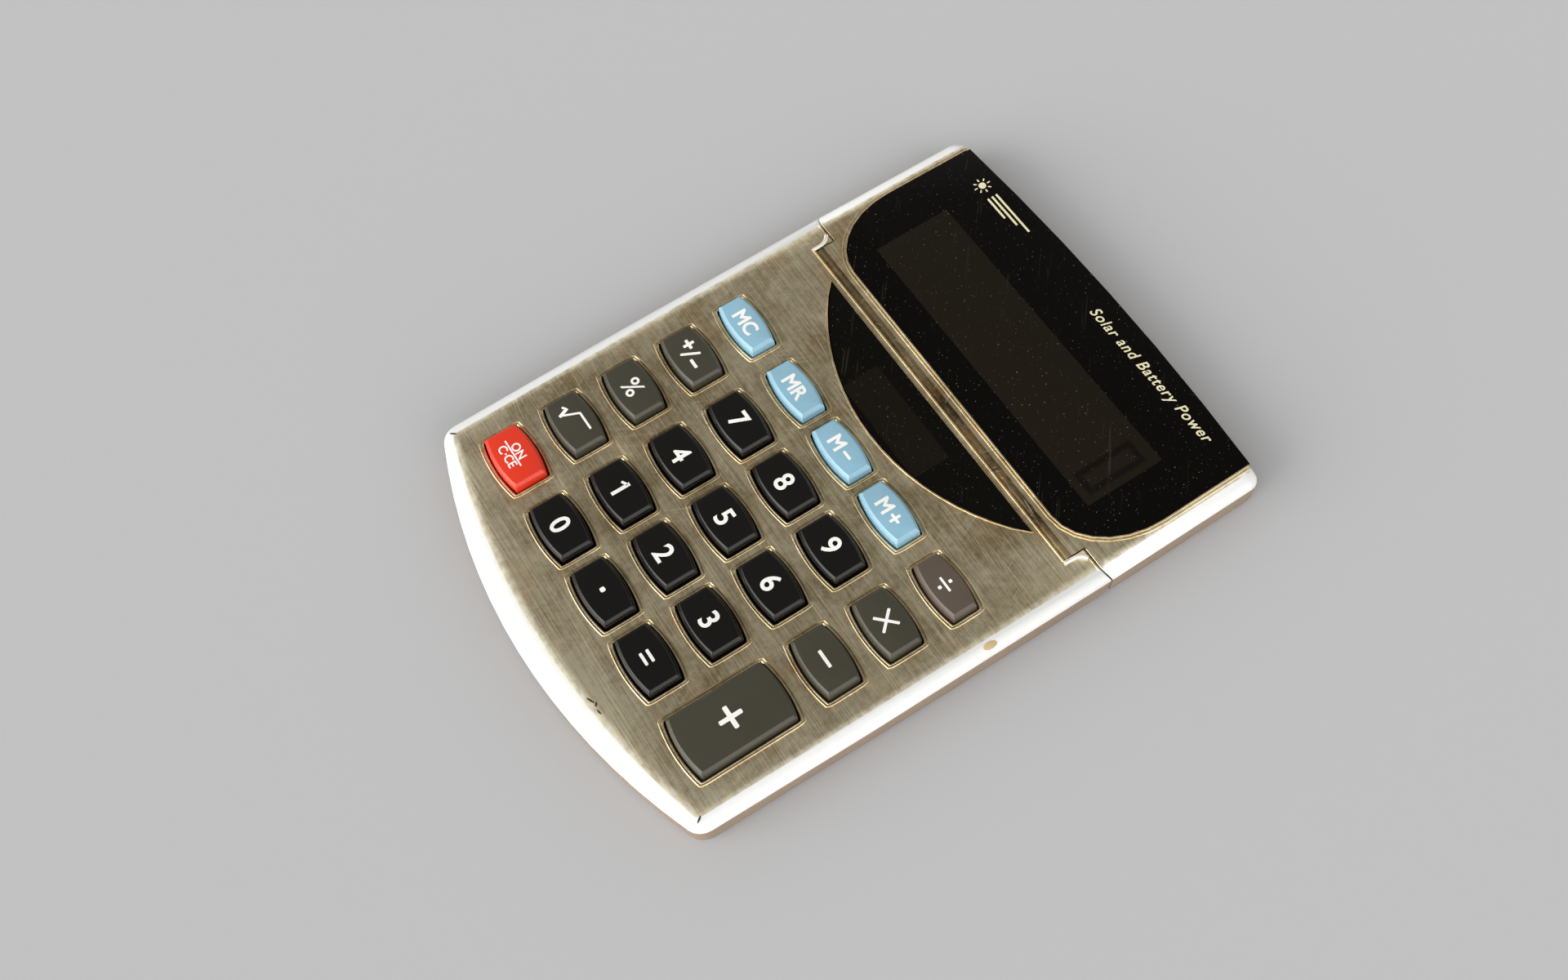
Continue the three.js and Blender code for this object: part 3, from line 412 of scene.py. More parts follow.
# The screws: pan-head self-tappers of bright steel with a cross recess, driven up from below into
# the bosses of the shells and through the battery door.
screw_steel = moulded("screw_steel", srgb(176, 174, 170), 0.3, grain_size=0.4, metallic=1.0)
shank_radius = 0.9 * mm
point_length = 0.8 * mm
for cad_node in (
    "base_screw_front_left", "base_screw_front_right", "base_screw_rear_left",
    "base_screw_rear_right", "battery_door_screw", "head_screw_left", "head_screw_right",
):
    low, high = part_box(cad_node)
    middle = (low + high) / 2
    head_radius = (high.x - low.x) / 2
    head_height = 0.6 * mm if cad_node == "battery_door_screw" else 1.1 * mm
    bpy.ops.mesh.primitive_cylinder_add(
        vertices=48, radius=head_radius, depth=head_height,
        location=(middle.x, middle.y, low.z + head_height / 2))
    screw = settle(bpy.context.object, cad_node + "_pan_head")
    with editing(screw):
        choose(screw, "faces", lambda middle, normal: normal.z < -0.9)
        bpy.ops.mesh.bevel(offset=0.3 * head_height, segments=4)
        choose(screw, "faces", lambda middle, normal: normal.z > 0.9)
        bpy.ops.mesh.inset(thickness=head_radius - shank_radius)
        bpy.ops.mesh.extrude_region_move(
            TRANSFORM_OT_translate={"value": (0, 0, high.z - low.z - head_height - point_length)})
        bpy.ops.mesh.extrude_region_move(TRANSFORM_OT_translate={"value": (0, 0, point_length)})
        bpy.ops.transform.resize(value=(0.25, 0.25, 1), center_override=(middle.x, middle.y, high.z))
    for turn in (0, math.pi / 2):
        bpy.ops.mesh.primitive_cube_add(
            location=(middle.x, middle.y, low.z), scale=(1.1 * mm, 0.25 * mm, 0.45 * head_height),
            rotation=(0, 0, turn))
        bar = bpy.context.object
        apply_modifier(screw, "BOOLEAN", object=bar, operation="DIFFERENCE", solver="EXACT")
        bpy.data.objects.remove(bar)
    settle(screw, screw.name, screw_steel)
    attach(screw, "head" if cad_node.startswith("head") else "base")
    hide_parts(cad_node)

# The battery door: a small moulded lid, flush with the underside and held by its own screw, with
# three grip ribs that a thumb pushes on.
door = bench_copy("battery_door")
low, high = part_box("battery_door")
soften(door, 0.15 * mm)
for step in (-1, 0, 1):
    bpy.ops.mesh.primitive_cylinder_add(
        vertices=24, radius=0.25 * mm, depth=7 * mm, rotation=(math.pi / 2, 0, 0),
        location=(high.x - 4 * mm + step * 1.4 * mm, (low.y + high.y) / 2, low.z + 0.1 * mm))
    rib = bpy.context.object
    with editing(rib, everything=True):
        bpy.ops.mesh.bevel(offset=0.1 * mm, segments=2)
    door = joined(door, rib)
settle(door, "battery_lid", band_plastic)
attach(door, "base")
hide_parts("battery_door")

# The button cell: a stainless can crimped over its lid, with a stepped cap and a rounded rim. It
# drops into a round pocket of the base, between its two contacts.
cell_steel = moulded("cell_steel", srgb(190, 188, 184), 0.22, grain_size=1.5, metallic=1.0)
low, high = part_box("battery_cell")
bpy.ops.mesh.primitive_cylinder_add(
    vertices=96, radius=(high.x - low.x) / 2, depth=high.z - low.z, location=(low + high) / 2)
cell = settle(bpy.context.object, "button_cell", cell_steel)
with editing(cell):
    choose(cell, "faces", lambda middle, normal: normal.z > 0.9)
    bpy.ops.mesh.inset(thickness=0.5 * mm)
    bpy.ops.mesh.inset(thickness=0.25 * mm, depth=-0.35 * mm)
    bpy.ops.mesh.inset(thickness=0.2 * mm)
    bpy.ops.mesh.extrude_region_move(TRANSFORM_OT_translate={"value": (0, 0, 0.3 * mm)})
soften(cell, 0.12 * mm, 3)
settle(cell, cell.name)
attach(cell, "base")
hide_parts("battery_cell")

# The two cell contacts: springy brass strip, stamped and folded, with one end soldered to the board
# and the other bearing on the cell.
contact_brass = moulded("contact_brass", srgb(196, 168, 96), 0.3, grain_size=0.6, metallic=1.0)
for cad_node in ("battery_clip_minus", "battery_clip_plus"):
    clip = softened_copy(cad_node, cad_node + "_strip", contact_brass, 0.08 * mm)
    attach(clip, "base")
    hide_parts(cad_node)

# The circuit board: green solder mask over glass cloth, with its corners and edges routed. It lies
# in the base under the keypad mat.
board_mask = moulded("solder_mask", srgb(66, 92, 48), 0.42, grain_size=0.5, grain_depth=0.01)
board = softened_copy("main_board", "circuit_board", board_mask, 0.1 * mm)
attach(board, "base")
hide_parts("main_board")

# The chip's cover: the chip is bonded straight to the board, and black epoxy is poured over it and
# sets as a low glossy dome.
chip_epoxy = moulded("chip_epoxy", srgb(20, 20, 21), 0.28, grain_size=0.8, grain_depth=0.02)
low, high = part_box("chip_blob")
bpy.ops.mesh.primitive_uv_sphere_add(
    segments=64, ring_count=32, radius=1, location=((low.x + high.x) / 2, (low.y + high.y) / 2, low.z),
    scale=((high.x - low.x) / 2, (high.y - low.y) / 2, high.z - low.z))
dome = settle(bpy.context.object, "epoxy_dome", chip_epoxy)
with editing(dome, everything=True):
    bpy.ops.mesh.bisect(
        plane_co=(0, 0, low.z), plane_no=(0, 0, -1), clear_outer=True, use_fill=True,
        threshold=cut_tolerance)
settle(dome, dome.name)
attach(dome, "base")
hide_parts("chip_blob")

# The solar cell's two wires: thin stranded copper in soft red and black sleeves, soldered to the cell
# and run down to the board.
for shade, color in (("red", srgb(176, 42, 32)), ("black", srgb(24, 24, 24))):
    cad_node = "solar_lead_" + shade
    lead = bench_copy(cad_node)
    apply_modifier(lead, "SUBSURF", levels=1, render_levels=1)
    settle(lead, cad_node + "_wire", moulded(shade + "_wire", color, 0.45), angle=60)
    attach(lead, "base")
    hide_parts(cad_node)

# The keypad mat: one sheet of pale silicone with a springy dome under each key. A pressed key
# flattens its dome; each dome is a piece of its own.
mat_silicone = moulded(
    "mat_silicone", srgb(196, 192, 180), 0.6, grain_size=0.3, Subsurface_Weight=0.1)
mat_low, mat_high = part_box("keypad_mat")
sheet_thickness = 0.6 * mm
sheet_top = mat_low.z + sheet_thickness
bpy.ops.mesh.primitive_cube_add(
    size=1, location=((mat_low.x + mat_high.x) / 2, (mat_low.y + mat_high.y) / 2,
                      mat_low.z + sheet_thickness / 2),
    scale=(mat_high.x - mat_low.x, mat_high.y - mat_low.y, sheet_thickness))
mat = settle(bpy.context.object, "silicone_mat", mat_silicone)
soften(mat, 0.15 * mm)
settle(mat, mat.name)
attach(mat, "base")
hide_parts("keypad_mat")
key_names = sorted(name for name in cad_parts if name.startswith("key_") and name != "key_frame")
dome_height = mat_high.z - sheet_top
for name in key_names:
    low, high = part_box(name)
    middle = (low + high) / 2
    bpy.ops.mesh.primitive_cone_add(
        vertices=40, radius1=3.4 * mm, radius2=1.9 * mm, depth=dome_height,
        location=(middle.x, middle.y, sheet_top + dome_height / 2))
    dome = settle(bpy.context.object, name + "_dome", mat_silicone)
    soften(dome, 0.12 * mm)
    settle(dome, dome.name)
    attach(dome, "base")
    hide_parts("keypad_mat")
    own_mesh(dome)

# The key frame: a moulded plate of dark plastic that guides the keys and holds their flanges down.
# It shows as the dark well round each key.
well_plastic = moulded("well_plastic", srgb(24, 21, 17), 0.55, grain_size=0.25, grain_depth=0.015)
key_guide = bench_copy("key_frame")
settle(key_guide, "key_guide", well_plastic)
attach(key_guide, "base")
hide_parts("key_frame")

# The faceplate: one pressed sheet of brushed metal, drawn down all round into a rolled edge. Two
# beads are pressed round each key's opening, and handling has left the sheet stained and scratched.
# Its rolled edge and a band by the fold carry a painted highlight, and the sheet is painted lighter
# towards the front and the right-hand side.
def scratch_group():
    """Shared wear: fine broken scratches in one direction, as a mask."""
    tree, given, out = group_tree(
        "fine_scratches", {"Turn": "Vector", "Sparseness": "Float"}, {"Mask": "Float"})
    turned = node(tree, "Mapping", {
        "Vector": place_in_mm(tree), "Rotation": given.outputs["Turn"]}).outputs[0]
    drawn_out = node(tree, "Mapping", {"Vector": turned, "Scale": (0.05, 2.2, 1)}).outputs[0]
    lines = noise(tree, drawn_out, 1.0, 2.0)
    thin = ranged(tree, worked(tree, "SUBTRACT", lines, given.outputs["Sparseness"]), 0, 0.03)
    broken = ranged(tree, noise(tree, turned, 0.11, 2.0), 0.5, 0.62)
    tree.links.new(worked(tree, "MULTIPLY", thin, broken), out.inputs["Mask"])
    return tree


fine_scratches = scratch_group()


def scratched(tree, degrees, sparseness):
    """The mask of one set of scratches, turned by an angle."""
    return node(tree, "Group", {"Turn": (0, 0, math.radians(degrees)), "Sparseness": sparseness},
                node_tree=fine_scratches).outputs["Mask"]


def mixed(tree, share, first, second):
    """Two colours mixed by a share. Each is a colour or an output socket."""
    mix = node(tree, "Mix", {0: share}, data_type="RGBA")
    for socket, color in ((mix.inputs[6], first), (mix.inputs[7], second)):
        if isinstance(color, bpy.types.NodeSocket):
            tree.links.new(color, socket)
        else:
            socket.default_value = color
    return mix.outputs[2]


scratch_tone = srgb(250, 238, 208)
scratch_share = 0.5
tarnish_tone = srgb(222, 158, 84)
tarnish_share = 0.2
# The painted highlight along the fold: its cream tone, and how much it takes the metal out there so the
# paint shows.
fold_highlight_tone = srgb(255, 250, 226)
fold_highlight_dulling = 0.85
fold_x = 51.2 * mm
fold_bow = 7.15 * mm
front_fold_y = -68.6 * mm


def brushed_group():
    """Shared brushed metal: its colour, gloss and bump, and the metal share left near the fold.
    Painted light: lighter towards the front and the right-hand side, and a painted highlight along
    the fold and on the turned-down faces.
    """
    tree, given, out = group_tree(
        "brushed_skin",
        {"Light Tone": "Color", "Dark Tone": "Color", "Roll Highlight Tone": "Color", "Roll": "Float"},
        {"Color": "Color", "Roughness": "Float", "Height": "Float", "Metal Share": "Float"})
    coordinates = node(tree, "TexCoord")
    across = node(tree, "SeparateXYZ", {0: coordinates.outputs["Object"]})
    per_mm = place_in_mm(tree)
    drawn_out = node(tree, "Mapping", {"Vector": per_mm, "Scale": (0.06, 3.2, 3.2)}).outputs[0]
    brushing = noise(tree, drawn_out, 1.0, 5.0)
    blotches = noise(tree, per_mm, 0.085, 6.0, 0.62)
    speckle = noise(tree, per_mm, 0.6, 5.0, 0.7)
    tone = worked(tree, "ADD", ranged(tree, blotches, 0.36, 0.64, 0, 0.62),
                  ranged(tree, speckle, 0.34, 0.66, 0, 0.36))
    tone = worked(tree, "ADD", tone, ranged(tree, brushing, 0.34, 0.66, 0, 0.4))
    # Painted light: the tone rises towards the front edge and towards the right-hand edge, where the light
    # falls, and is darker behind and to the left.
    for axis, low, high in (("Y", -46 * mm, -70 * mm), ("X", 38 * mm, 54 * mm)):
        painted_light_gradient = ranged(tree, across.outputs[axis], low, high, -0.14, 0.22)
        tone = worked(tree, "ADD", tone, painted_light_gradient)
    color = mixed(tree, tone, given.outputs["Dark Tone"], given.outputs["Light Tone"])

    scratches = scratched(tree, 8, 0.62)
    for degrees, sparseness in ((-24, 0.64), (63, 0.66), (117, 0.65)):
        scratches = worked(tree, "MAXIMUM", scratches, scratched(tree, degrees, sparseness))
    color = mixed(tree, worked(tree, "MULTIPLY", scratches, scratch_share), color, scratch_tone)
    tarnish = ranged(tree, noise(tree, per_mm, 0.13, 3.0), 0.56, 0.72)
    color = mixed(tree, worked(tree, "MULTIPLY", tarnish, tarnish_share), color, tarnish_tone)

    # Painted highlight: a cream band over the last 1.6 to 1.7 mm before the side and front folds, broken by
    # speckle.
    aside = worked(tree, "ABSOLUTE", across.outputs["X"])
    share = worked(tree, "DIVIDE", aside, fold_x)
    bow = worked(tree, "MULTIPLY", worked(tree, "MULTIPLY", share, share), fold_bow)
    behind_fold = worked(tree, "SUBTRACT", across.outputs["Y"], bow)
    near_front = ranged(tree, behind_fold, front_fold_y + 1.7 * mm, front_fold_y)
    near_side = ranged(tree, aside, fold_x - 1.6 * mm, fold_x)
    near_fold = worked(tree, "MAXIMUM", near_front, near_side)
    painted_fold_highlight = worked(tree, "MULTIPLY", near_fold, ranged(tree, speckle, 0.35, 0.6, 0.5, 1))
    color = mixed(tree, painted_fold_highlight, color, fold_highlight_tone)

    # Painted highlight: faces that slope down from the flat top are mixed towards the near-white roll tone,
    # by the Roll share, standing in for the bright reflection on the rolled edge.
    slope = node(tree, "SeparateXYZ", {0: coordinates.outputs["Normal"]}).outputs["Z"]
    turned_down = ranged(tree, slope, 0.999, 0.99)
    pale = worked(tree, "MULTIPLY", turned_down, given.outputs["Roll"])
    color = mixed(tree, pale, color, given.outputs["Roll Highlight Tone"])
    rough = worked(tree, "ADD", ranged(tree, brushing, 0.3, 0.7, 0.3, 0.42),
                   ranged(tree, blotches, 0.3, 0.7, 0.06, -0.04))
    tree.links.new(color, out.inputs["Color"])
    tree.links.new(rough, out.inputs["Roughness"])
    tree.links.new(worked(tree, "SUBTRACT", brushing, scratches), out.inputs["Height"])
    tree.links.new(worked(tree, "MULTIPLY_ADD", painted_fold_highlight, -fold_highlight_dulling, 1.0), out.inputs["Metal Share"])
    return tree


brushed_skin = brushed_group()


def brushed(name, light, dark, roll=0.0, metallic=1.0):
    """A brushed metal between two tones. Roll is how much of the painted highlight, near-white, its
    turned-down faces get.
    """
    material, shader = finish(name, light, 0.35, metallic)
    tree = material.node_tree
    skin = node(tree, "Group", {
        "Light Tone": light, "Dark Tone": dark, "Roll Highlight Tone": srgb(250, 250, 248), "Roll": roll,
    }, node_tree=brushed_skin)
    tree.links.new(worked(tree, "MULTIPLY", skin.outputs["Metal Share"], metallic), shader.inputs["Metallic"])
    surfaced(tree, shader, skin, 0.006)
    return material


plate_tones = (srgb(255, 241, 205), srgb(170, 150, 112))
flat_metal = brushed("flat_metal", *plate_tones)
# The rolled metal carries the painted highlight: near-white on its turned-down faces and mostly
# non-metallic.
highlighted_rolled_metal = brushed("highlighted_rolled_metal", *plate_tones, roll=1.0, metallic=0.2)
bead_metal = brushed("bead_metal", srgb(232, 212, 170), srgb(170, 150, 112))
# Painted shade: a darker copy of the plate's brushed metal for the sheet where it curls round the hinge
# barrel, standing in for its dark reflection.
shaded_barrel_metal = brushed("shaded_barrel_metal", srgb(190, 166, 124), srgb(66, 52, 34))
skin_metals = (flat_metal, highlighted_rolled_metal, bead_metal, shaded_barrel_metal)


def use_metal(piece, metal):
    """In edit mode, gives the selected faces one of the skin's metals."""
    piece.active_material_index = skin_metals.index(metal)
    bpy.ops.object.material_slot_assign()


def rolled_edges(piece, test):
    """Gives a skin its metals, and the rolled one, with its painted highlight, to its faces that turn
    down past the fold.
    """
    for material in skin_metals:
        piece.data.materials.append(material)
    with editing(piece):
        choose(piece, "faces", lambda middle, normal: abs(normal.z) < 0.995 and test(middle))
        use_metal(piece, highlighted_rolled_metal)


def beaded(bead, metal=bead_metal):
    """Gives a bead all the metals, in a skin's order, uses one of them and puts the bead in place."""
    for material in skin_metals:
        bead.data.materials.append(material)
    with editing(bead, everything=True):
        use_metal(bead, metal)
    return settle(bead, "bead")


plate_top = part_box("faceplate")[1].z
faceplate = bench_copy("faceplate")
soften(faceplate, 0.1 * mm, 2, 50)
rolled_edges(faceplate, lambda middle: abs(middle.x) > 50 * mm or middle.y < -61 * mm)

key_bulge = 1 * mm


def barrel_plan(width, length, corner, bulge=key_bulge):
    """A flat face with straight sides and bulging front and rear edges, as a key is seen from above."""
    radius = (width ** 2 / 4 + bulge ** 2) / (2 * bulge)
    bpy.ops.mesh.primitive_circle_add(
        vertices=300, radius=radius, fill_type="NGON", location=(0, radius - length / 2, 0))
    plan = bpy.context.object
    bpy.ops.object.transform_apply()
    cuts = (((width / 2, 0, 0), (1, 0, 0)), ((-width / 2, 0, 0), (-1, 0, 0)), ((0, 0, 0), (0, 1, 0)))
    with editing(plan):
        for point, normal in cuts:
            bpy.ops.mesh.select_all(action="SELECT")
            bpy.ops.mesh.bisect(plane_co=point, plane_no=normal, clear_outer=True, threshold=cut_tolerance)
    apply_modifier(plan, "MIRROR", use_axis=(False, True, False), merge_threshold=cut_tolerance)
    with editing(plan):
        choose(plan, "edges", lambda middle, along: abs(middle.y) < cut_tolerance and abs(along.x) > 0.9)
        bpy.ops.mesh.dissolve_edges(use_verts=True)
        choose(plan, "verts", lambda middle, normal:
               abs(middle.x) > width / 2 - 1e-6 and abs(middle.y) > length / 4)
        bpy.ops.mesh.bevel(affect="VERTICES", offset=corner, segments=5)
    return plan


# Each bead has its gap to the key, its radius, the radius of its corners, its lift and its metal.
opening_beads = (
    (0.52 * mm, 0.27 * mm, 0.9 * mm, -0.16 * mm, flat_metal),
    (1.02 * mm, 0.26 * mm, 1.9 * mm, 0, bead_metal),
)
lip_reach = 0.8 * mm
for name in key_names:
    low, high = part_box(name)
    for gap, radius, corner, lift, metal in opening_beads:
        wider = 2 * (gap - lip_reach)
        rim = barrel_plan(high.x - low.x + wider, high.y - low.y + wider, corner)
        with editing(rim, everything=True):
            bpy.ops.mesh.delete(type="ONLY_FACE")
        rim.location = ((low.x + high.x) / 2, (low.y + high.y) / 2, plate_top + lift)
        faceplate = joined(faceplate, beaded(drawn_as_bead(rim, radius), metal))
window_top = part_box("solar_window")[1].z


def top_outline(cad_node, rear=cad_high.y):
    """The top edge of a flat CAD piece, as far back as rear."""
    outline = bench_copy(cad_node)
    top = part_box(cad_node)[1].z
    with editing(outline):
        choose(outline, "verts", lambda middle, normal: middle.z < top - 1e-6)
        bpy.ops.mesh.delete(type="VERT")
        bpy.ops.mesh.select_all(action="SELECT")
        bpy.ops.mesh.delete(type="ONLY_FACE")
        bpy.ops.mesh.select_all(action="SELECT")
        bpy.ops.mesh.bisect(
            plane_co=(0, rear, 0), plane_no=(0, 1, 0), clear_outer=True, threshold=cut_tolerance)
    return outline


window_rim = top_outline("solar_window")
window_rim.location.z = plate_top - window_top
faceplate = joined(faceplate, beaded(drawn_as_bead(window_rim, 0.26 * mm, 0.45 * mm)))
ear_inner = 46 * mm
ear_rear = 31.6 * mm
lip_y = 27 * mm
lip = bead_along([(share * ear_inner, lip_y, plate_top) for share in (-1, -0.5, 0, 0.5, 1)], 0.3 * mm)
faceplate = joined(faceplate, beaded(lip))
# Each ear's inner rim takes the rolled metal, so it is painted near-white as a highlight.
for side in (-1, 1):
    inner_rim = bead_along([
        (side * across * mm, along * mm, plate_top + 0.08 * mm)
        for across, along in ((46.35, 27), (46.35, 28.6), (46.6, 30), (47.2, 30.9), (48, 31.5))], 0.42 * mm)
    rear_rim = bead_along([
        (side * across * mm, ear_rear, plate_top - 0.06 * mm)
        for across in (47.6, 48.6, 49.6, 50.6, 51.4)], 0.2 * mm)
    faceplate = joined(faceplate, beaded(inner_rim, highlighted_rolled_metal), beaded(rear_rim))
settle(faceplate, "brushed_faceplate", angle=50)
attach(faceplate, "base")
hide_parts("faceplate")
bare_metal = moulded("bare_metal", srgb(66, 52, 34), 0.6, grain_size=0.3, grain_depth=0.02)
# Each mark has its place, length and width in mm, and its turn in degrees.
wear_marks = (
    ((18.4, -66.6), 2.2, 0.5, 24), ((19.7, -66.1), 1.2, 0.6, -35), ((21.4, -66.4), 1.6, 0.4, 12),
    ((50.8, -61.2), 1.8, 0.4, -52), ((-50.8, -61.2), 1.8, 0.4, 52),
)
marks = []
for (across, along), length, width, turn in wear_marks:
    bpy.ops.mesh.primitive_uv_sphere_add(
        segments=12, ring_count=6, radius=1, rotation=(0, 0, math.radians(turn)),
        location=(across * mm, along * mm, plate_top - 0.02 * mm),
        scale=(length / 2 * mm, width / 2 * mm, 0.05 * mm))
    marks.append(settle(bpy.context.object, "mark"))
bare_base = moulded("bare_base", srgb(204, 178, 132), 0.55, grain_size=0.3, grain_depth=0.02)
bpy.ops.mesh.primitive_uv_sphere_add(
    segments=10, ring_count=6, radius=1, rotation=(0, math.radians(17), math.radians(-4)),
    location=(52.3 * mm, 4.6 * mm, 8.0 * mm), scale=(0.8 * mm, 1.6 * mm, 0.2 * mm))
flange_chip = settle(bpy.context.object, "flange_chip", bare_base, angle=20)
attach(flange_chip, "base")
wear = joined(*marks)
wear.data.materials.clear()
settle(wear, "faceplate_chips", bare_metal)
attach(wear, "base")


# The solar window and its cell: a half-moon of smoked acrylic in the faceplate, over a strip of
# amorphous silicon that shows through it as a slightly lighter rectangle.
def patch_group():
    """Shared by both windows: a soft-edged rectangle, as a mask."""
    tree, given, out = group_tree(
        "clear_patch", {"Middle": "Vector", "Half Size": "Vector", "Edge": "Float"}, {"Mask": "Float"})
    place = node(tree, "TexCoord").outputs["Object"]
    away = node(tree, "VectorMath", {0: place, 1: given.outputs["Middle"]}, operation="SUBTRACT")
    size = node(tree, "VectorMath", {0: away.outputs[0]}, operation="ABSOLUTE")
    inside = node(tree, "VectorMath", {0: given.outputs["Half Size"], 1: size.outputs[0]},
                  operation="SUBTRACT")
    parts = node(tree, "SeparateXYZ", {0: inside.outputs[0]})
    nearest = worked(tree, "MINIMUM", parts.outputs["X"], parts.outputs["Y"])
    tree.links.new(ranged(tree, nearest, 0, given.outputs["Edge"]), out.inputs["Mask"])
    return tree


clear_patch = patch_group()


def rectangle(tree, middle, half_size, edge):
    """The mask of one soft-edged rectangle."""
    return node(tree, "Group", {"Middle": middle, "Half Size": half_size, "Edge": edge},
                node_tree=clear_patch).outputs["Mask"]


paint_edge = 0.15 * mm
stale_edge = 0.7 * mm
stale_tone = srgb(18, 15, 10)
stale_outside = (3.3 * mm, 7.5 * mm, 1)
stale_inside = (1.9 * mm, 6.1 * mm, 1)
dust_tone = srgb(150, 140, 120)


def smoked(name, color, patch_color, middle, half_size, roughness, ghost=None):
    """Glossy near-black acrylic that is clearer over a rectangle, with dust and hairline scratches.
    Ghost is the place of a stale digit in that rectangle."""
    material, shader = finish(name, color, roughness, Specular_IOR_Level=0.12)
    tree = material.node_tree
    shade = mixed(tree, rectangle(tree, middle, half_size, paint_edge), color, patch_color)
    if ghost:
        stale = worked(tree, "SUBTRACT", *(
            rectangle(tree, ghost, half, stale_edge) for half in (stale_outside, stale_inside)))
        shade = mixed(tree, stale, shade, stale_tone)
    per_mm = place_in_mm(tree)
    dust = worked(tree, "MULTIPLY", ranged(tree, noise(tree, per_mm, 2.4, 1.0), 0.735, 0.77), 0.55)
    scuffs = worked(tree, "MULTIPLY", scratched(tree, 40, 0.64), 0.05)
    marks = worked(tree, "MAXIMUM", dust, scuffs)
    tree.links.new(mixed(tree, marks, shade, dust_tone), shader.inputs["Base Color"])
    haze = noise(tree, per_mm, 0.15, 3.0)
    tree.links.new(
        ranged(tree, haze, 0.3, 0.7, roughness * 0.7, roughness * 1.5), shader.inputs["Roughness"])
    return material


cell_low, cell_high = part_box("solar_cell")
window_smoke = smoked(
    "window_smoke", srgb(11, 9, 6), srgb(23, 19, 13), (cell_low + cell_high) / 2,
    (cell_high - cell_low) / 2, 0.12)
window = softened_copy("solar_window", "smoked_window", window_smoke, 0.12 * mm, 3)
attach(window, "base")
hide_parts("solar_window")
silicon = moulded("cell_silicon", srgb(34, 26, 30), 0.2, grain_size=0.8, Coat_Weight=0.6)
solar_strip = softened_copy("solar_cell", "silicon_strip", silicon, 0.06 * mm)
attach(solar_strip, "base")
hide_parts("solar_cell")

# The keys: hollow caps moulded in black, olive, brown, blue and red plastic. Each has a flange that
# the key guide holds down, a straight skirt, a broad chamfer and a flat glossy top.
edge_inset = 0.75 * mm
edge_height = 0.8 * mm
edge_draft = 0.1 * mm
lip_thickness = 0.6 * mm
ink_thickness = 0.02 * mm
cap_styles = {
    "black": moulded("black_cap", srgb(13, 11, 9), 0.24, grain_size=0.3, grain_depth=0.006,
                     Specular_IOR_Level=0.36),
    "olive": moulded("olive_cap", srgb(66, 63, 50), 0.34, grain_size=0.3, grain_depth=0.008),
    "brown": moulded("brown_cap", srgb(92, 80, 68), 0.36, grain_size=0.3, grain_depth=0.008),
    "blue": moulded("blue_cap", srgb(146, 190, 210), 0.3, grain_size=0.3, grain_depth=0.008),
    "red": moulded("red_cap", srgb(232, 58, 32), 0.3, grain_size=0.3, grain_depth=0.008),
}
style_of = {"key_divide": "brown", "key_on_clear": "red"}
style_of.update({name: "blue" for name in ("key_mc", "key_mr", "key_m_minus", "key_m_plus")})
style_of.update({
    name: "olive" for name in
    ("key_sign", "key_percent", "key_root", "key_multiply", "key_minus", "key_plus")})
caps = {}


def new_cap(width, length, height):
    """A key cap standing on z = 0, from its flange up to its flat top."""
    skirt = height - lip_thickness - edge_height - ink_thickness
    top = (width - 2 * lip_reach - 2 * edge_inset, length - 2 * lip_reach - 2 * edge_inset)
    skirt_length = length - 2 * lip_reach
    levels = (
        (0, lip_thickness),
        (lip_reach, 0),
        (lip_reach + edge_draft, skirt),
        (lip_reach + edge_inset, edge_height),
    )
    cap = barrel_plan(*top, 0.3 * mm, key_bulge * top[1] / skirt_length)
    with editing(cap, everything=True):
        bpy.ops.transform.resize(value=(width / top[0], length / top[1], 1), center_override=(0, 0, 0))
        spread = (width, length)
        for inset, rise in levels:
            bpy.ops.mesh.extrude_region_move(TRANSFORM_OT_translate={"value": (0, 0, rise)})
            narrowed = (width - 2 * inset, length - 2 * inset)
            bpy.ops.transform.resize(
                value=(narrowed[0] / spread[0], narrowed[1] / spread[1], 1), center_override=(0, 0, 0))
            spread = narrowed
        bpy.ops.mesh.select_all(action="SELECT")
        bpy.ops.mesh.normals_make_consistent(inside=False)
    soften(cap, 0.16 * mm, 3, 25)
    return cap


for name in key_names:
    low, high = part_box(name)
    size = tuple(round((high[axis] - low[axis]) / mm, 2) for axis in range(3))
    if size not in caps:
        caps[size] = new_cap(*(side * mm for side in size))
    cap = bpy.data.objects.new(name, caps[size].data.copy())
    bpy.context.scene.collection.objects.link(cap)
    cap.location = ((low.x + high.x) / 2, (low.y + high.y) / 2, low.z)
    style = style_of.get(name, "black")
    settle(cap, name + "_cap", cap_styles[style], angle=30)
    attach(cap, name)
    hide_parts(name)
for cap in caps.values():
    bpy.data.objects.remove(cap)

# The legends: white ink, pad-printed on the tops of the keys in a plain round sans. Each is a thin
# layer that stands on its cap.
ink_white = moulded("legend_ink", srgb(255, 254, 248), 0.5, grain_size=0.2)


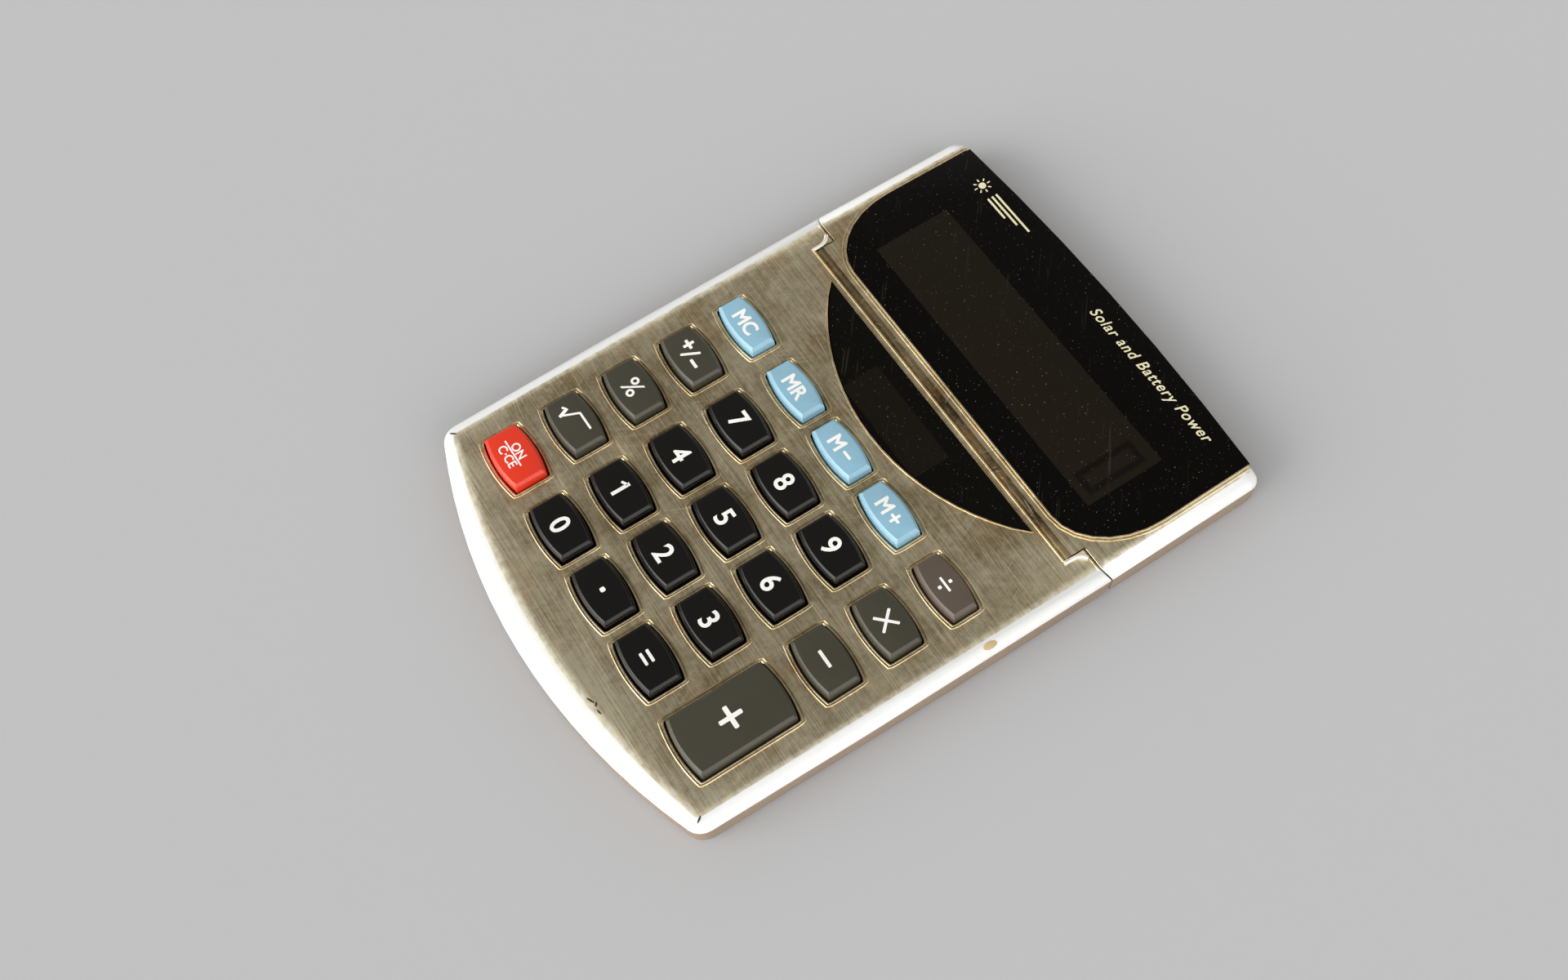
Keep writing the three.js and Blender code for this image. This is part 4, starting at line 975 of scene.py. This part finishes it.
def printed(name, words, font_height, x, y, weight=0.02, slant=0.0, spread=1.0):
    """One line of print, centred on a place, as a thin layer of ink: its letters, and a pen line of
    a share of their height round them. Sizes in metres."""
    layers = []
    for fill, depth, pen, thickness in (("BOTH", 0.5, 0, 0.9), ("NONE", 0, weight, 0.5 / weight)):
        bpy.ops.object.select_all(action="DESELECT")
        bpy.ops.object.text_add()
        line = bpy.context.object
        line.data.body = words
        line.data.align_x = "CENTER"
        line.data.shear = slant
        line.data.space_character = spread
        line.data.fill_mode = fill
        line.data.extrude = depth
        line.data.bevel_depth = pen
        bpy.ops.object.convert(target="MESH")
        line = bpy.context.object
        corners = [vert.co for vert in line.data.vertices]
        middle = [(min(c[axis] for c in corners) + max(c[axis] for c in corners)) / 2 for axis in (0, 1)]
        line.scale = (font_height, font_height, ink_thickness * thickness)
        line.location = (x - middle[0] * font_height, y - middle[1] * font_height, 0)
        layers.append(settle(line, name))
    return joined(*layers)


def stroke(length, width, x, y, degrees=0.0):
    """One straight stroke of print with rounded ends. A turned stroke lies just under a level one."""
    depth = 0.9 if degrees > 0 else 1
    bpy.ops.mesh.primitive_cube_add(
        location=(x, y, 0), rotation=(0, 0, math.radians(degrees)),
        scale=(length / 2, width / 2, ink_thickness * depth / 2))
    line = settle(bpy.context.object, "stroke")
    with editing(line):
        choose(line, "edges", lambda middle, along: abs(along.z) > 0.9)
        bpy.ops.mesh.bevel(offset=0.3 * width, segments=4)
    return line


def legend(name, x, y):
    """One key's legend, round a place on its top. In mm, a stroke has its length, width and place,
    and its turn in degrees, and a print has its words, height and place, and the weight of its pen."""
    pen = 0.72
    strokes = {
        "key_point": [(1.1, 1.1, 0, 0, 0)],
        "key_equals": [(3, 0.66, 0, 0.75, 0), (3, 0.66, 0, -0.75, 0)],
        "key_minus": [(4.2, 0.72, 0, 0, 0)],
        "key_plus": [(5.2, 1, 0, 0, 0), (5.2, 1, 0, 0, 90)],
        "key_multiply": [(5.4, 0.62, 0, 0, 45), (5.4, 0.62, 0, 0, -45)],
        "key_divide": [(3.6, 0.5, 0, 0, 0), (0.75, 0.75, 0, 1.25, 0), (0.75, 0.75, 0, -1.25, 0)],
        "key_sign": [(2.6, pen, -2.3, 0.9, 0), (2.6, pen, -2.3, 0.9, 90),
                     (4.4, 0.6, 0, 0, 62), (2.5, pen, 2.5, -0.7, 0)],
        "key_m_minus": [(2.4, 0.62, 2.2, 0, 0)],
        "key_m_plus": [(2.6, 0.62, 2.2, 0, 0), (2.6, 0.62, 2.2, 0, 90)],
        "key_root": [(1.1, 0.5, -3.8, -0.3, 35), (2.6, 0.75, -2.9, -0.95, -68),
                     (4.2, 0.5, -1.7, 0.1, 66), (4.8, 0.5, 1.4, 1.98, 0)],
        "key_on_clear": [(7.2, 0.34, -0.4, -0.1, 0)],
        "key_1": [(1.5, 0.6, -0.75, 1.35, 28)],
    }
    prints = {"key_" + digit: [(digit, 6.1, 0, 0, 0.02)] for digit in "0123456789"}
    prints.update({
        "key_mc": [("MC", 4.5, 0, 0, 0.03)],
        "key_mr": [("MR", 4.5, 0, 0, 0.03)],
        "key_m_minus": [("M", 4.5, -1.5, 0, 0.03)],
        "key_m_plus": [("M", 4.5, -1.5, 0, 0.03)],
        "key_percent": [("%", 6, 0, 0, 0.008)],
        "key_on_clear": [("ON", 2.7, -0.3, 1.15, 0.018), ("C·CE", 2.7, -0.4, -1.45, 0.018)],
    })
    pieces = [printed(name, words, height * mm, x + across * mm, y + up * mm, weight)
              for words, height, across, up, weight in prints.get(name, [])]
    pieces += [stroke(length * mm, width * mm, x + across * mm, y + up * mm, turn)
               for length, width, across, up, turn in strokes.get(name, [])]
    return joined(*pieces)


for name in key_names:
    low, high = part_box(name)
    ink = legend(name, (low.x + high.x) / 2, (low.y + high.y) / 2)
    ink.location.z = high.z - ink_thickness / 2
    ink.data.materials.clear()
    settle(ink, name + "_legend", ink_white)
    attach(ink, name)

# The head's back shell: the moulded tray behind the display, with the round barrel that the metal
# wraps and that the hinge pins enter.
head_band = shell_with_ribs("head_back_shell", "head_band")
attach(head_band, "head")
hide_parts("head_back_shell")

# The head plate: the same brushed sheet, rolled round the hinge barrel at the front and pressed into
# a double bead round the lens, with its own rolled edge at the sides and the rear. The metal on the
# barrel is painted darker as shade, and the rolled edge carries the painted highlight.
head_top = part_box("head_plate")[1].z
wrap_rear = 34 * mm
head_side_fold = 50.2 * mm
head_rear_fold = 70 * mm
head_plate = bench_copy("head_plate")
soften(head_plate, 0.1 * mm, 2, 50)
rolled_edges(head_plate, lambda middle: middle.y > wrap_rear and (
    abs(middle.x) > head_side_fold or middle.y > head_rear_fold))
# The barrel faces take the darker, painted-shade copy of the metal.
with editing(head_plate):
    choose(head_plate, "faces", lambda middle, normal: abs(middle.x) < ear_inner and middle.y < ear_rear)
    use_metal(head_plate, shaded_barrel_metal)
for offset, radius, lift in ((0.3, 0.26, 0.02), (0.95, 0.24, -0.02)):
    lens_rim = top_outline("display_lens", cad_high.y - 3 * mm)
    lens_rim.location.z = lift * mm
    head_plate = joined(head_plate, beaded(drawn_as_bead(lens_rim, radius * mm, offset * mm)))
for side in (-1, 1):
    front_rim = bead_along([
        (side * across * mm, 32.4 * mm, head_top - 0.04 * mm)
        for across in (46.2, 47.5, 48.8, 50.1, 51.4)], 0.2 * mm)
    head_plate = joined(head_plate, beaded(front_rim))
settle(head_plate, "brushed_head_plate", angle=50)
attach(head_plate, "head")
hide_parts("head_plate")

# The display lens: a glossy black acrylic panel that runs out to the rear edge. It is painted black
# on its back but for the window over the liquid crystal display, where an old digit has ghosted.
display_middle = Vector((0.1, 47.8, 8.4)) * mm
display_half = Vector((38.6, 9.4, 5)) * mm
lens_smoke = smoked(
    "lens_smoke", srgb(8, 6, 4), srgb(29, 25, 17), display_middle, display_half, 0.1,
    ghost=Vector((34, 47.4, 8.4)) * mm)
lens = softened_copy("display_lens", "glossy_lens", lens_smoke, 0.15 * mm, 3)
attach(lens, "head")
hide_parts("display_lens")

# The print on the lens: a plain sun and three bars at the left, and a line of italics, screened on
# the face of the acrylic in cream ink.
ink_cream = moulded("lens_ink", srgb(240, 232, 190), 0.45, grain_size=0.2)
print_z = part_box("display_lens")[1].z + ink_thickness / 2
sun_x = -39.2 * mm
sun_y = 67.4 * mm
bpy.ops.mesh.primitive_cylinder_add(
    vertices=32, radius=0.85 * mm, depth=ink_thickness, location=(sun_x, sun_y, 0))
sun = settle(bpy.context.object, "sun")
rays = []
for turn in range(0, 360, 45):
    reach = Vector((math.cos(math.radians(turn)), math.sin(math.radians(turn)))) * 1.65 * mm
    rays.append(stroke(0.75 * mm, 0.3 * mm, sun_x + reach.x, sun_y + reach.y, turn))
bars = [stroke(length * mm, 0.5 * mm, (length / 2 - 35.5) * mm, sun_y + up * mm)
        for length, up in ((12.5, 1.1), (9.5, 0), (6.5, -1.1))]
words = printed(
    "words", "Solar and Battery Power", 3.4 * mm, 21 * mm, sun_y, weight=0.012, slant=0.3, spread=1.14)
lens_print = joined(sun, words, *rays, *bars)
lens_print.location.z = print_z
lens_print.data.materials.clear()
settle(lens_print, "lens_print", ink_cream)
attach(lens_print, "head")

# The display behind the lens: a thin glass cell, a strip of foam that presses it up, and the moulded
# carrier that the head screws pull down.
display_parts = (
    ("lcd_glass", "display_glass", moulded("cell_glass", srgb(92, 98, 82), 0.12, grain_size=0.8),
     0.05, "lcd_glass"),
    ("lcd_cushion", "foam_strip", moulded("dark_foam", srgb(46, 44, 42), 0.9, grain_size=0.12,
                                          grain_depth=0.06), 0.15, "foam"),
    ("lcd_holder", "display_carrier", moulded("carrier_plastic", srgb(206, 202, 190), 0.5), 0.1,
     "frame_plastic"),
)
for cad_node, name, material, edge, slot_name in display_parts:
    part = softened_copy(cad_node, name, material, edge * mm)
    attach(part, "head")
    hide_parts(cad_node)

# The hinge pins: short ground steel rods with chamfered ends. Each is pressed into an ear of the
# base, and the head's barrel turns on it.
for cad_node in ("hinge_pin_left", "hinge_pin_right"):
    low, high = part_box(cad_node)
    bpy.ops.mesh.primitive_cylinder_add(
        vertices=48, radius=(high.z - low.z) / 2, depth=high.x - low.x, location=(low + high) / 2,
        rotation=(0, math.pi / 2, 0))
    pin = settle(bpy.context.object, cad_node + "_rod", screw_steel)
    soften(pin, 0.2 * mm)
    settle(pin, pin.name)
    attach(pin, "base")
    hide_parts(cad_node)

# The ribbon: a flat flex of copper tracks in amber film. It is bonded to the board and to the display
# glass, and passes slack under the hinge barrel.
amber_film = moulded("amber_film", srgb(186, 120, 46), 0.3, grain_size=0.8, grain_depth=0.004)
low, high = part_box("ribbon_cable")
ribbon = bench_copy("ribbon_cable")
with editing(ribbon):
    choose(ribbon, "edges", lambda middle, along: abs(along.x) < 0.5)
    bpy.ops.mesh.subdivide(number_cuts=4)
settle(ribbon, "flex_ribbon", amber_film, angle=60)
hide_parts("ribbon_cable")
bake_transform(ribbon)
